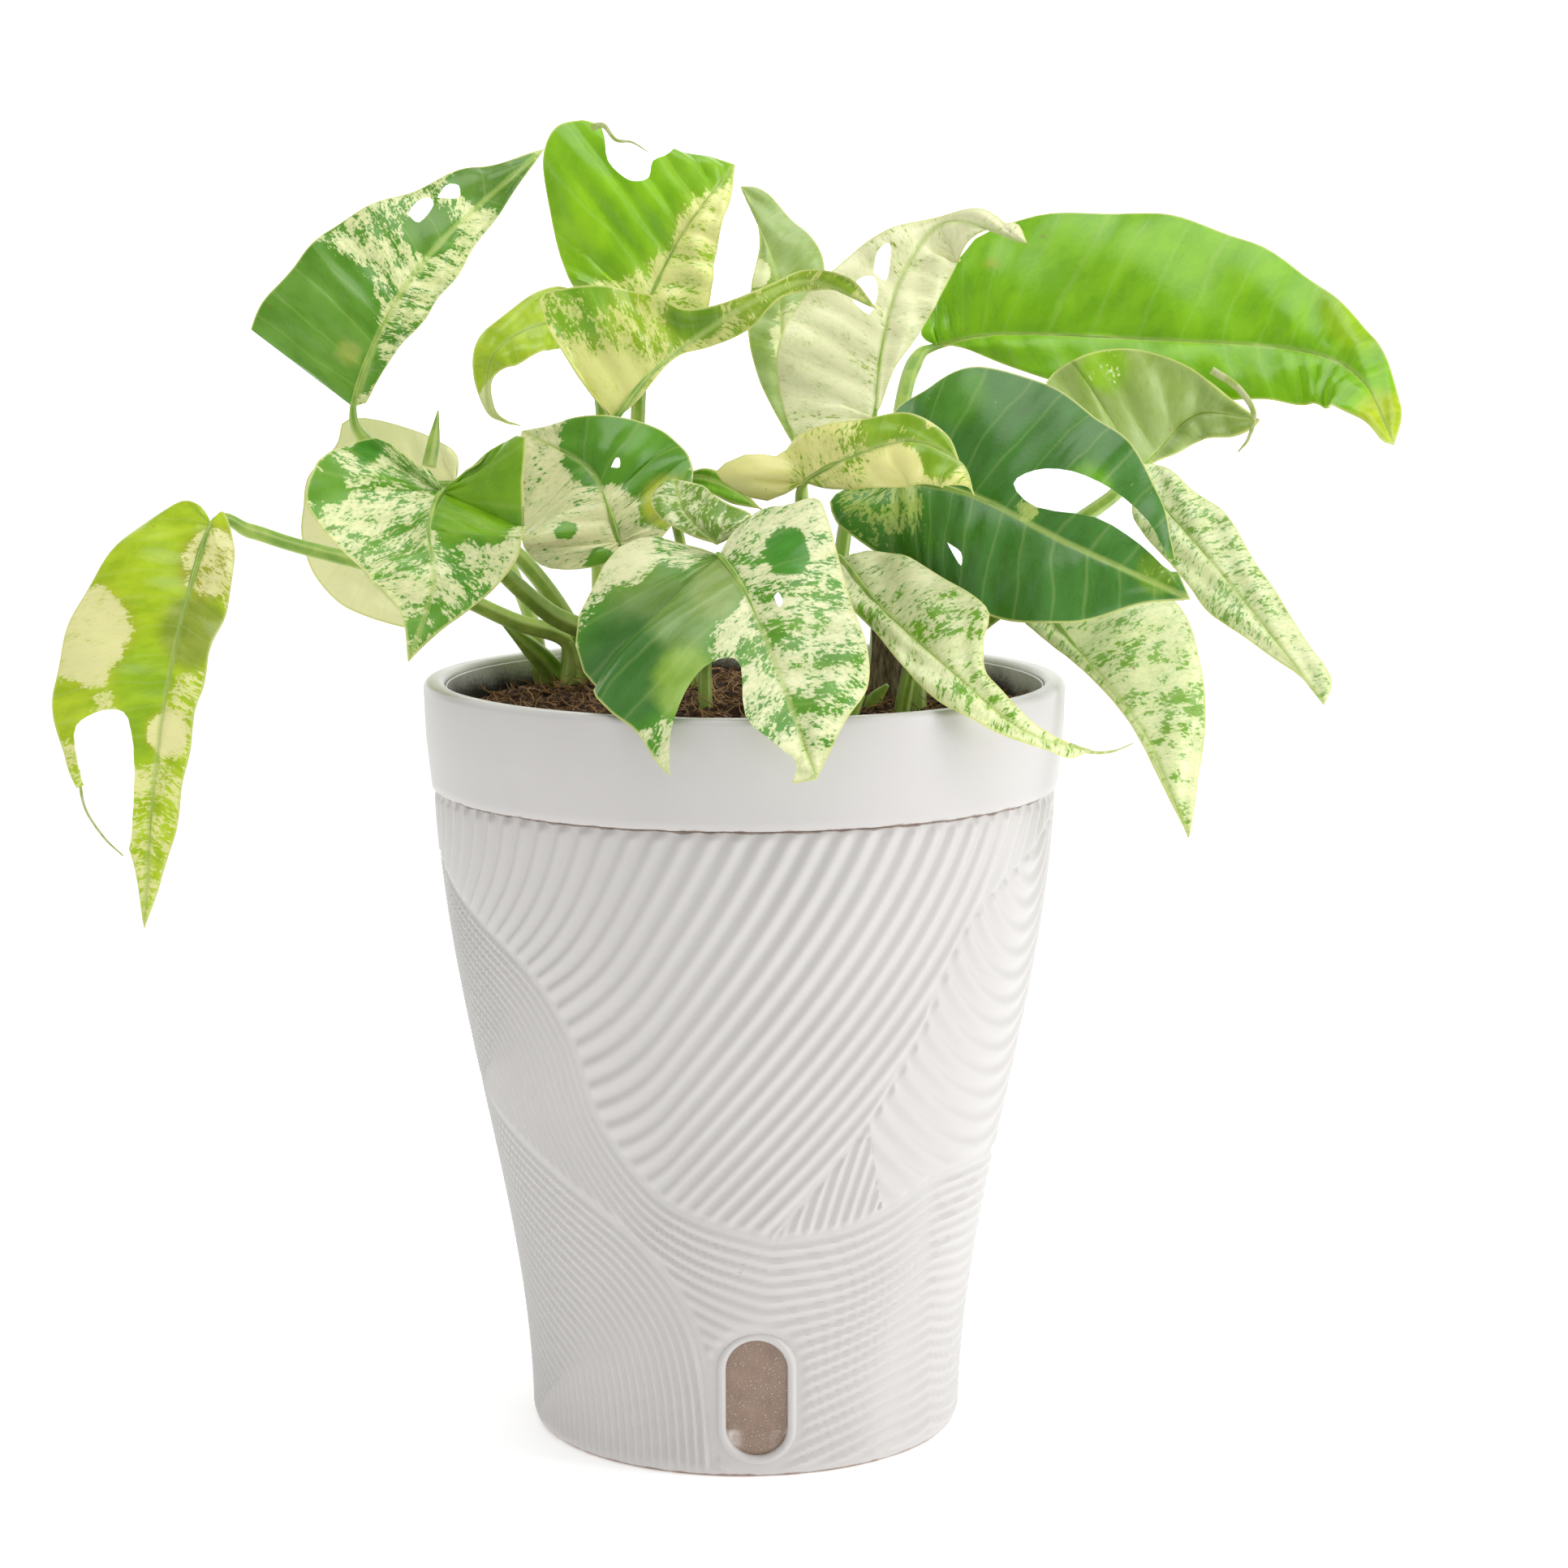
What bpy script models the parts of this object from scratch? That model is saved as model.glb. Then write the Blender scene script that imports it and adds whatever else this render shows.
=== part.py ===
# A marbled split-leaf vine in a two-part self-watering pot.
# Metres, +Z up. The origin is on the pot's axis, on the floor. The front is -Y.

import math

import bmesh
import bpy
import numpy as np
from mathutils import Matrix, Vector

# Driving dimensions
MM = 0.001
GAP = 0.3 * MM
FOOT_RADIUS = 50.4 * MM
SEAM_RADIUS = 72 * MM
SEAM_HEIGHT = 153 * MM
RIM_RADIUS = 75 * MM
RIM_INNER_RADIUS = 69.9 * MM
POT_HEIGHT = 178 * MM
WALL = 2.4 * MM
BASKET_FLOOR = 48 * MM
CUP_RADIUS = 15 * MM
CUP_FLOOR = 6 * MM
SOIL_HEIGHT = 170 * MM
TURN_STEPS = 40
WINDOW_CENTRE = (3 * MM, 19 * MM)
WINDOW_WIDTH = 14.2 * MM
WINDOW_HEIGHT = 28.4 * MM
SEAL_WIDTH = 1.7 * MM
BLADE_THICKNESS = 1 * MM
NARROWEST = 0.8 * MM  # the points of a blade closer than this become one
BLADE_ROWS = 9
FAN_ROWS = 4
SHORTEST_LOBE = 8
FINE_STEPS = 96
BLADE_COLUMNS = 2
VEIN_SWEEP = 0.3

# Each blade is three curves in millimetres. "mid" is its midrib from stalk to tip as (x, y, z).
# "left" and "right" are its margins from stalk to tip as (x, z), with an optional extra depth.
# A margin stands back from its midrib by "lean" times its distance from it and by "tilt" times its rise
# above it, and "cup" swells each half.
# "cuts" are the outlines of splits and holes, as (x, z), that go right through the blade.
LEAVES = {
    "far_left": {
        "mid": [(-125, 5, 213), (-131, -13, 186), (-134, -27, 159), (-136, -36, 125)],
        "left": [(-128, 217), (-134, 218), (-145, 210), (-154, 198), (-159, 182), (-159, 170),
                 (-156, 162), (-153, 156), (-148, 148), (-140, 143)],
        "right": [(-122, 216), (-119, 207), (-119, 198), (-123, 184), (-126, 167), (-128, 152),
                  (-131, 139)],
        "lean": (0.25, -0.3), "tilt": 0.45, "cup": 0.12,
        "cuts": [
            [(-151, 156), (-154, 167), (-151, 171), (-145, 173), (-141, 171), (-139, 161), (-139, 150),
             (-141, 141), (-151, 143), (-162, 150)],
        ],
        "stalk": [(-43, 33, 182), (-57, 29, 188), (-79, 21, 199), (-106, 16, 207), (-117, 12, 211)],
        "radius": (2.2, 1.5),
    },
    "upper_left": {
        "mid": [(-95, 37, 239), (-87, 40, 260), (-74, 53, 279), (-51, 79, 301)],
        "left": [(-104, 244), (-114, 248), (-122, 253), (-121, 257), (-115, 267), (-101, 282),
                 (-89, 288), (-79, 292), (-69, 296), (-60, 298)],
        "right": [(-92, 240), (-88, 248), (-80, 258), (-72, 269), (-65, 280), (-57, 292)],
        "lean": (0.15, 0.9), "tilt": 0.45, "cup": 0.1,
        "cuts": [
            [(-83, 285), (-81, 288), (-78, 289), (-77, 287), (-80, 283)],
            [(-76, 289), (-74, 292), (-71, 292), (-71, 289)],
        ],
        "stalk": [(-42, 43, 182), (-55, 39, 202), (-72, 40, 213), (-90, 39, 228)],
        "radius": (2.2, 1.6),
    },
    "pale_back": {
        "mid": [(-72, 53, 219), (-90, 56, 215), (-96, 52, 201), (-79, 40, 184)],
        "left": [(-72, 226), (-80, 231), (-91, 234), (-100, 234), (-102, 228), (-109, 221), (-110, 213),
                 (-110, 205), (-106, 196), (-96, 188)],
        "right": [(-69, 211), (-70, 199), (-74, 190)],
        "lean": (0, 0), "tilt": 0.45, "cup": 0.05,
        "cuts": [],
        "stalk": [(-52, 47, 182), (-59, 57, 199), (-63, 59, 211)],
        "radius": (1.8, 1.3),
    },
    "left_heart": {
        "mid": [(-69, -13, 222), (-71, -26, 215), (-69, -38, 203), (-75, -37, 186)],
        "left": [(-72, 227), (-76, 229), (-83, 234), (-88, 234), (-93, 232), (-97, 229), (-99, 222),
                 (-95, 216), (-87, 208), (-80, 202), (-76, 196)],
        "right": [(-66, 225), (-61, 229), (-55, 233), (-50, 236, -8), (-50, 227, -8), (-49, 216, -6),
                  (-50, 209), (-55, 203), (-63, 197), (-70, 191)],
        "lean": (-0.12, -0.3), "tilt": 0.45, "cup": -0.12,
        "cuts": [],
        "stalk": [(-34, 29, 182), (-47, 18, 191), (-58, 5, 203), (-65, -7, 213)],
        "radius": (2.6, 1.6),
    },
    "centre_left": {
        "mid": [(-29, -6, 210), (-32, -4, 219), (-37, 4, 227), (-53, 21, 234)],
        "left": [(-31, 206), (-37, 204), (-46, 205), (-51, 210), (-53, 219), (-54, 228)],
        "right": [(-24, 206), (-19, 211), (-15, 217), (-12, 226), (-16, 232, 4), (-21, 236), (-29, 238),
                  (-41, 237)],
        "lean": (-0.1, 0.12), "tilt": 0.45, "cup": 0.12,
        "cuts": [
            [(-31, 227), (-30, 229), (-29, 229), (-29, 227)],
        ],
        "stalk": [(-22, 14, 175), (-22, 8, 184), (-25, 2, 197)],
        "radius": (1.9, 1.4),
    },
    "top_green": {
        "mid": [(-25, 53, 261), (-18, 58, 276), (-10, 61, 288), (-3, 71, 297)],
        "left": [(-35, 263), (-42, 267), (-45, 273), (-48, 285), (-50, 298), (-47, 306), (-41, 308),
                 (-37, 307), (-26, 304), (-14, 300)],
        "right": [(-18, 260), (-11, 260), (-8, 268), (-8, 274), (-6, 282), (-4, 289)],
        "lean": (-0.15, -0.25), "tilt": 0.45, "cup": 0.12,
        "cuts": [
            [(-37, 309), (-35, 304), (-34, 298), (-30, 294), (-27, 293), (-24, 294), (-23, 298),
             (-19, 300), (-17, 305), (-26, 316)],
        ],
        "stalk": [(-26, 46, 175), (-26, 53, 199), (-27, 55, 228), (-26, 53, 249)],
        "radius": (2.2, 1.5),
    },
    "curled": {
        "mid": [(-39, 55, 258), (-51, 47, 258), (-61, 40, 251), (-62, 39, 238), (-55, 43, 234)],
        "left": [(-38, 263), (-44, 267), (-51, 266), (-60, 260), (-65, 255), (-66, 247), (-63, 238),
                 (-59, 235)],
        "right": [(-40, 253), (-45, 253), (-54, 250), (-61, 246), (-61, 239), (-59, 236)],
        "lean": (0.1, -0.4), "tilt": 0.45, "cup": 0.1,
        "cuts": [],
        "stalk": [(-36, 49, 182), (-37, 58, 204), (-36, 63, 233), (-38, 59, 251)],
        "radius": (1.9, 1.3),
    },
    "centre": {
        "mid": [(-31, 16, 237), (-23, 20, 247), (-13, 26, 255), (1, 26, 264), (15, 30, 269),
                (31, 24, 263)],
        "left": [(-37, 244), (-41, 250), (-46, 258), (-48, 266), (-41, 268), (-32, 268), (-22, 266),
                 (-16, 263), (-10, 263), (-3, 265), (7, 269), (15, 272), (25, 270)],
        "right": [(-26, 241), (-17, 251), (-8, 254), (1, 258), (8, 265), (16, 267), (27, 267)],
        "lean": (-0.35, 0.5), "tilt": 0.45, "cup": -0.1,
        "cuts": [],
        "stalk": [(-30, 35, 182), (-34, 36, 204), (-37, 34, 226), (-35, 28, 235)],
        "radius": (2.1, 1.5),
    },
    "sage_back": {
        "mid": [(13, 80, 225), (9, 91, 249), (7, 99, 271), (-2, 113, 292)],
        "left": [(8, 233), (3, 243), (0, 255), (1, 267), (3, 278), (1, 287)],
        "right": [(16, 233), (18, 247), (19, 261), (19, 274), (10, 285), (3, 291)],
        "lean": (0.1, 0.2), "tilt": 0.45, "cup": 0.08,
        "cuts": [],
        "stalk": [(16, 40, 175), (15, 55, 194), (14, 72, 213)],
        "radius": (2.0, 1.4),
    },
    "pale_holes": {
        "mid": [(31, 40, 236), (33, 45, 253), (38, 51, 270), (49, 55, 283), (68, 44, 278)],
        "left": [(21, 231), (12, 232), (8, 244), (8, 254), (14, 265), (22, 272), (29, 278), (37, 282),
                 (46, 284), (58, 286)],
        "right": [(33, 240), (36, 248), (42, 256), (49, 268), (55, 279), (65, 283)],
        "lean": (-0.1, 0.3), "tilt": 0.45, "cup": 0.1,
        "cuts": [
            [(31, 271), (32, 276), (35, 278), (35, 273), (34, 269)],
            [(26, 264), (27, 269), (31, 270), (32, 266), (30, 261)],
        ],
        "stalk": [(22, 20, 175), (22, 27, 194), (25, 32, 216), (29, 36, 229)],
        "radius": (2.0, 1.5),
    },
    "big_green": {
        "mid": [(48, 79, 252), (64, 72, 255), (102, 59, 254), (134, 49, 252), (148, 38, 246),
                (154, 19, 231)],
        "left": [(44, 256), (52, 270), (58, 279), (71, 284), (88, 285), (103, 285), (123, 279),
                 (135, 272), (145, 264), (154, 253), (157, 239)],
        "right": [(53, 252), (62, 249), (75, 244), (92, 242), (109, 241), (127, 240), (141, 239),
                  (147, 237), (151, 232)],
        "lean": (0.15, -0.2), "tilt": 0.45, "cup": 0.1,
        "cuts": [],
        "stalk": [(32, 32, 175), (34, 48, 204), (38, 65, 234), (42, 76, 248)],
        "radius": (2.2, 1.7),
    },
    "sage_curl": {
        "mid": [(91, 26, 220), (99, 34, 228), (109, 38, 237), (124, 34, 236)],
        "left": [(82, 228, -4), (76, 237, -8), (72, 245, -10), (80, 251, -12), (89, 253, -12),
                 (98, 252, -10), (108, 248, -6), (117, 241, -2)],
        "right": [(97, 225), (104, 228), (110, 231), (117, 232), (122, 234)],
        "lean": (0, 0), "tilt": 0.45, "cup": 0.1,
        "cuts": [],
        "stalk": [(44, 22, 175), (52, 27, 189), (69, 28, 205), (84, 27, 215)],
        "radius": (1.9, 1.4),
    },
    "dark_split": {
        "mid": [(35, -15, 225), (52, -23, 222), (73, -34, 212), (100, -37, 200)],
        "left": [(32, 230), (34, 239), (41, 245), (53, 250), (66, 248), (78, 241), (88, 233), (94, 222),
                 (96, 212), (98, 205)],
        "right": [(26, 224), (20, 221), (21, 216), (24, 213), (35, 206), (44, 201), (57, 196),
                  (73, 195), (89, 199)],
        "lean": (0.12, 0.12), "tilt": 0.45, "cup": 0.1,
        "cuts": [
            [(95, 209), (91, 217), (83, 224), (74, 228), (66, 228), (61, 225), (66, 220), (79, 218),
             (89, 212), (96, 206), (102, 207)],
            [(46, 212), (47, 210), (49, 207), (49, 210)],
        ],
        "stalk": [(40, -14, 175), (40, -7, 189), (38, -6, 206), (36, -12, 217)],
        "radius": (2.1, 1.5),
    },
    "yellow": {
        "mid": [(14, -21, 225), (24, -29, 231), (37, -35, 235), (48, -43, 231), (51, -48, 224)],
        "left": [(5, 221, 2), (-2, 223, 4), (-6, 227, 4), (1, 231), (8, 231), (12, 235), (19, 238),
                 (28, 240), (37, 241), (45, 237), (48, 231)],
        "right": [(20, 224), (32, 225), (42, 226), (49, 226)],
        "lean": (0.2, -0.1), "tilt": 0.45, "cup": 0.12,
        "cuts": [],
        "stalk": [(8, -2, 175), (10, -1, 189), (12, -7, 208), (13, -16, 218)],
        "radius": (1.8, 1.3),
    },
    "front_split": {
        "mid": [(-5, -42, 210), (1, -56, 203), (8, -74, 188), (16, -93, 168)],
        "left": [(-8, 211), (-16, 213), (-22, 214), (-29, 211), (-33, 203), (-37, 194), (-35, 185),
                 (-29, 180), (-22, 175), (-15, 168), (-1, 166), (10, 167)],
        "right": [(-2, 214), (3, 219), (8, 221), (16, 223), (19, 218), (21, 211), (24, 201), (27, 193),
                  (27, 186), (23, 180), (19, 173)],
        "lean": (0.1, 0.15), "tilt": 0.45, "cup": 0.12,
        "cuts": [
            [(-15, 168), (-15, 176), (-12, 184), (-8, 189), (-3, 191), (0, 189), (1, 180), (7, 175),
             (12, 170), (5, 161), (-10, 159)],
            [(7, 203), (8, 204), (9, 202), (8, 201)],
        ],
        "stalk": [(-9, -15, 175), (-9, -14, 184), (-8, -24, 197), (-6, -36, 206)],
        "radius": (1.6, 1.3),
    },
    "front_back_lobe": {
        "mid": [(-6, -33, 212), (-13, -24, 218), (-16, -13, 225)],
        "left": [(-13, 214), (-19, 217), (-21, 221), (-19, 224)],
        "right": [(-2, 214), (2, 218), (-4, 221), (-11, 224)],
        "lean": (0, 0), "tilt": 0.45, "cup": 0.1,
        "cuts": [],
    },
    "green_tip": {
        "mid": [(-19, 14, 223), (-11, 8, 224), (-3, -1, 222), (4, -10, 218)],
        "left": [(-15, 224), (-9, 226), (-3, 224)],
        "right": [(-15, 221), (-9, 221), (-3, 219)],
        "lean": (0, 0), "tilt": 0.45, "cup": 0.1,
        "cuts": [],
        "stalk": [(-12, 16, 175), (-13, 21, 194), (-17, 18, 215)],
        "radius": (1.5, 1.0),
    },
    "tendril": {
        "mid": [(22, -25, 208), (31, -38, 198), (46, -57, 186), (61, -62, 174), (77, -51, 168)],
        "left": [(21, 204), (23, 199), (29, 194), (36, 186), (44, 180), (53, 175), (65, 170), (72, 167)],
        "right": [(30, 210), (43, 206), (54, 199), (53, 193), (53, 187), (56, 183), (63, 176), (70, 171)],
        "lean": (-0.3, 0.1), "tilt": 0.45, "cup": 0.1,
        "cuts": [],
        "stalk": [(24, -8, 175), (23, -8, 187), (22, -17, 202)],
        "radius": (1.8, 1.3),
    },
    "low_right": {
        "mid": [(66, -14, 198), (76, -20, 187), (90, -32, 170), (100, -43, 147)],
        "left": [(62, 197), (65, 192), (74, 185), (82, 178), (87, 172), (91, 165), (96, 155)],
        "right": [(77, 206), (90, 205), (100, 196), (104, 185), (105, 175), (103, 161)],
        "lean": (0.12, 0.2), "tilt": 0.45, "cup": 0.1,
        "cuts": [],
        "stalk": [(46, -4, 175), (50, -3, 185), (59, -9, 194)],
        "radius": (1.8, 1.3),
    },
    "far_right": {
        "mid": [(93, 18, 223), (102, 9, 213), (117, -5, 195), (133, -20, 174)],
        "left": [(94, 226), (99, 226), (104, 222), (113, 215), (121, 202), (126, 194), (131, 186),
                 (135, 179)],
        "right": [(92, 214), (99, 205), (104, 199), (109, 193), (122, 184), (128, 180)],
        "lean": (0.15, 0.15), "tilt": 0.45, "cup": 0.1,
        "cuts": [],
        "stalk": [(46, 8, 175), (54, 12, 187), (71, 15, 207), (86, 17, 218)],
        "radius": (1.9, 1.4),
    },
}

PARTS = "potted_vine"
CUTTERS = "cutters"


def clear_scene():
    for thing in list(bpy.data.objects):
        bpy.data.objects.remove(thing, do_unlink=True)


def make_collection(name, hidden):
    collection = bpy.data.collections.new(name)
    bpy.context.scene.collection.children.link(collection)
    collection.hide_render = hidden
    return collection


def make_material(name, color, roughness):
    material = bpy.data.materials.new(name)
    material.use_nodes = True
    shader = material.node_tree.nodes["Principled BSDF"]
    shader.inputs["Base Color"].default_value = (*color, 1)
    shader.inputs["Roughness"].default_value = roughness
    shader.inputs["Metallic"].default_value = 0
    return material


def add_object(name, data, material, collection=PARTS):
    thing = bpy.data.objects.new(name, data)
    bpy.data.collections[collection].objects.link(thing)
    data.materials.append(material)
    return thing


def add_cutter(thing, target):
    thing.hide_render = True
    thing.display_type = "WIRE"
    cut = target.modifiers.new("cut_" + thing.name, "BOOLEAN")
    cut.object = thing
    cut.operation = "DIFFERENCE"
    cut.solver = "EXACT"


def smooth_curve(points, steps):
    """Points at even steps along a Catmull-Rom curve through the given ones."""
    given = np.asarray(points, float)
    given = np.vstack([2 * given[0] - given[1], given, 2 * given[-1] - given[-2]])
    spans = len(given) - 3
    curve = []
    for step in range(steps + 1):
        place = step * spans / steps
        index = min(int(place), spans - 1)
        f = place - index
        a, b, c, d = given[index:index + 4]
        curve.append(0.5 * (2 * b + (c - a) * f + (2 * a - 5 * b + 4 * c - d) * f**2
                            + (3 * b - a - 3 * c + d) * f**3))
    return np.array(curve)


def turned(name, profile, material, collection=PARTS):
    """A closed profile of (radius, height), turned round the Z axis. It runs down its outer side."""
    mesh = bpy.data.meshes.new(name)
    edges = [(i, i + 1) for i in range(len(profile) - 1)]
    mesh.from_pydata([(radius, 0, height) for radius, height in profile], edges, [])
    thing = add_object(name, mesh, material, collection)
    screw = thing.modifiers.new("turn", "SCREW")
    screw.axis = "Z"
    screw.steps = TURN_STEPS
    screw.render_steps = TURN_STEPS
    screw.use_merge_vertices = True
    screw.merge_threshold = 0.00001
    return thing


def outer_radius(height):
    """The S-shaped side of the outer pot: nearly upright at the foot and at the seam."""
    t = 0.97 * height / SEAM_HEIGHT
    return FOOT_RADIUS + (SEAM_RADIUS - FOOT_RADIUS) * t * t * (3 - 2 * t)


def window_frame():
    """Where the window sits: on the front wall, tipped to follow its taper."""
    x, z = WINDOW_CENTRE
    half = WINDOW_HEIGHT / 2
    rise = outer_radius(z + half) - outer_radius(z - half)
    tip = math.atan2(rise, 2 * half)
    depth = math.sqrt(outer_radius(z) ** 2 - x**2)
    return Matrix.Translation((x, -depth, z)) @ Matrix.Rotation(math.pi / 2 + tip, 4, "X")


def stadium(name, width, height, depth, offset, material, collection=PARTS, bore=None):
    """A flat stadium plate on the window's frame. offset is how far its middle stands out of the wall."""
    curve = bpy.data.curves.new(name, "CURVE")
    curve.dimensions = "2D"
    curve.fill_mode = "BOTH"
    curve.extrude = depth / 2
    for wide, high in [(width, height)] + ([bore] if bore else []):
        radius = wide / 2
        arc = 12
        points = []
        for step in range(2 * arc + 2):
            top = step <= arc
            angle = math.pi * (step if top else step - 1) / arc
            shift = (high / 2 - radius) * (1 if top else -1)
            points.append((radius * math.cos(angle), radius * math.sin(angle) + shift))
        spline = curve.splines.new("POLY")
        spline.points.add(len(points) - 1)
        spline.use_cyclic_u = True
        for point, (x, y) in zip(spline.points, points):
            point.co = (x, y, 0, 1)
    source = bpy.data.objects.new(name + "_outline", curve)
    bpy.context.scene.collection.objects.link(source)
    mesh = mesh_from(source)
    mesh.name = name
    mesh.transform(window_frame() @ Matrix.Translation((0, 0, offset)))
    return add_object(name, mesh, material, collection)


def mesh_from(source):
    """The evaluated mesh of a curve object, with its caps welded. The curve is removed."""
    bpy.context.view_layer.update()
    graph = bpy.context.evaluated_depsgraph_get()
    mesh = bpy.data.meshes.new_from_object(source.evaluated_get(graph))
    bm = bmesh.new()
    bm.from_mesh(mesh)
    bmesh.ops.remove_doubles(bm, verts=bm.verts, dist=0.00001)
    bmesh.ops.recalc_face_normals(bm, faces=bm.faces)
    bm.to_mesh(mesh)
    bm.free()
    bpy.data.objects.remove(source, do_unlink=True)
    return mesh


def cylinder(name, radius, depth, place, target, turn=None):
    bm = bmesh.new()
    bmesh.ops.create_cone(bm, cap_ends=True, segments=16, radius1=radius, radius2=radius, depth=depth)
    bm.transform(Matrix.Translation(place) @ (turn or Matrix()))
    mesh = bpy.data.meshes.new(name)
    bm.to_mesh(mesh)
    bm.free()
    add_cutter(add_object(name, mesh, materials["dark"], CUTTERS), target)


def make_outer_pot():
    """The painted shell: an open-topped cup with the window cut through its front."""
    chamfer = 1 * MM
    heights = [SEAM_HEIGHT * k / 12 for k in range(12, 0, -1)]
    profile = [(outer_radius(h), h) for h in heights]
    profile += [(FOOT_RADIUS, chamfer), (FOOT_RADIUS - chamfer, 0), (0, 0), (0, WALL)]
    profile += [(outer_radius(h) - WALL, max(h, WALL)) for h in [0] + heights[::-2]]
    profile += [(SEAM_RADIUS - WALL, SEAM_HEIGHT), profile[0]]
    pot = turned("outer_pot", profile, materials["paint"])
    cutter = stadium("window_cutter", WINDOW_WIDTH + 2 * SEAL_WIDTH + 2 * GAP,
                     WINDOW_HEIGHT + 2 * SEAL_WIDTH + 2 * GAP, 20 * MM, 0, materials["dark"], CUTTERS)
    add_cutter(cutter, pot)
    return pot


def make_window():
    lens = (WINDOW_WIDTH - 2 * GAP, WINDOW_HEIGHT - 2 * GAP)
    stadium("window_lens", *lens, 1.6 * MM, -1.2 * MM, materials["lens"])
    stadium("window_seal", WINDOW_WIDTH + 2 * SEAL_WIDTH, WINDOW_HEIGHT + 2 * SEAL_WIDTH, 3 * MM, -0.9 * MM,
            materials["paint"], bore=(WINDOW_WIDTH, WINDOW_HEIGHT))


def basket_radius(height):
    return outer_radius(height) - WALL - 2 * MM


def make_inner_pot():
    """The liner: a painted collar over a black basket, with drain holes and a slotted wicking cup."""
    wall = 1.6 * MM
    skirt = SEAM_HEIGHT + GAP
    lip = 1.6 * MM
    collar_foot = RIM_RADIUS - 1.6 * MM
    basket = [(basket_radius(h), h) for h in (150 * MM, 115 * MM, 80 * MM, BASKET_FLOOR)]
    profile = [
        (RIM_INNER_RADIUS + lip, POT_HEIGHT), (RIM_RADIUS - lip, POT_HEIGHT), (RIM_RADIUS, POT_HEIGHT - lip),
        (RIM_RADIUS - 0.4 * MM, 165 * MM), (collar_foot, skirt), (basket[0][0], skirt), *basket,
        (CUP_RADIUS, BASKET_FLOOR), (CUP_RADIUS - 1 * MM, CUP_FLOOR), (0, CUP_FLOOR), (0, CUP_FLOOR + wall),
        (CUP_RADIUS - 1 * MM - wall, CUP_FLOOR + wall), (CUP_RADIUS - wall, BASKET_FLOOR + wall),
    ]
    profile += [(radius - wall, height + wall) for radius, height in basket[::-1]]
    profile += [(RIM_INNER_RADIUS - 1.2 * MM, 168 * MM), (RIM_INNER_RADIUS, POT_HEIGHT - lip), profile[0]]
    liner = turned("inner_pot", profile, materials["liner"])
    for k in range(6):
        angle = math.radians(60 * k)
        place = (32 * MM * math.cos(angle), 32 * MM * math.sin(angle), BASKET_FLOOR)
        cylinder(f"drain_{k}", 2.5 * MM, 12 * MM, place, liner)
    for k in range(4):
        angle = math.radians(90 * k + 45)
        place = (CUP_RADIUS * math.cos(angle), CUP_RADIUS * math.sin(angle), 24 * MM)
        turn = Matrix.Rotation(angle, 4, "Z") @ Matrix.Rotation(math.pi / 2, 4, "Y") @ Matrix.Scale(
            4, 4, Vector((1, 0, 0)))
        cylinder(f"slot_{k}", 2 * MM, 10 * MM, place, liner, turn)
    return liner


def make_potting_mix():
    """The coir block: it fills the basket and the cup, with a slight mound on top."""
    clear = 1.6 * MM + GAP
    basket = [(basket_radius(h) - clear, h + clear) for h in (150 * MM, 115 * MM, 80 * MM, BASKET_FLOOR)]
    cup = CUP_RADIUS - clear
    profile = [
        (0, SOIL_HEIGHT + 2.4 * MM), (30 * MM, SOIL_HEIGHT + 2 * MM), (55 * MM, SOIL_HEIGHT + 1 * MM),
        (RIM_INNER_RADIUS - 2 * MM, SOIL_HEIGHT - 1 * MM), (RIM_INNER_RADIUS - 2.6 * MM, 160 * MM), *basket,
        (cup, BASKET_FLOOR + clear), (cup - 1 * MM, CUP_FLOOR + clear), (0, CUP_FLOOR + clear),
    ]
    return turned("potting_mix", profile, materials["mix"])


def curve_points(curve, places):
    """The points at fractional places along a curve of FINE_STEPS steps."""
    along = np.arange(FINE_STEPS + 1)
    return np.stack([np.interp(places, along, curve[:, axis]) for axis in range(3)], axis=1)


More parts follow.
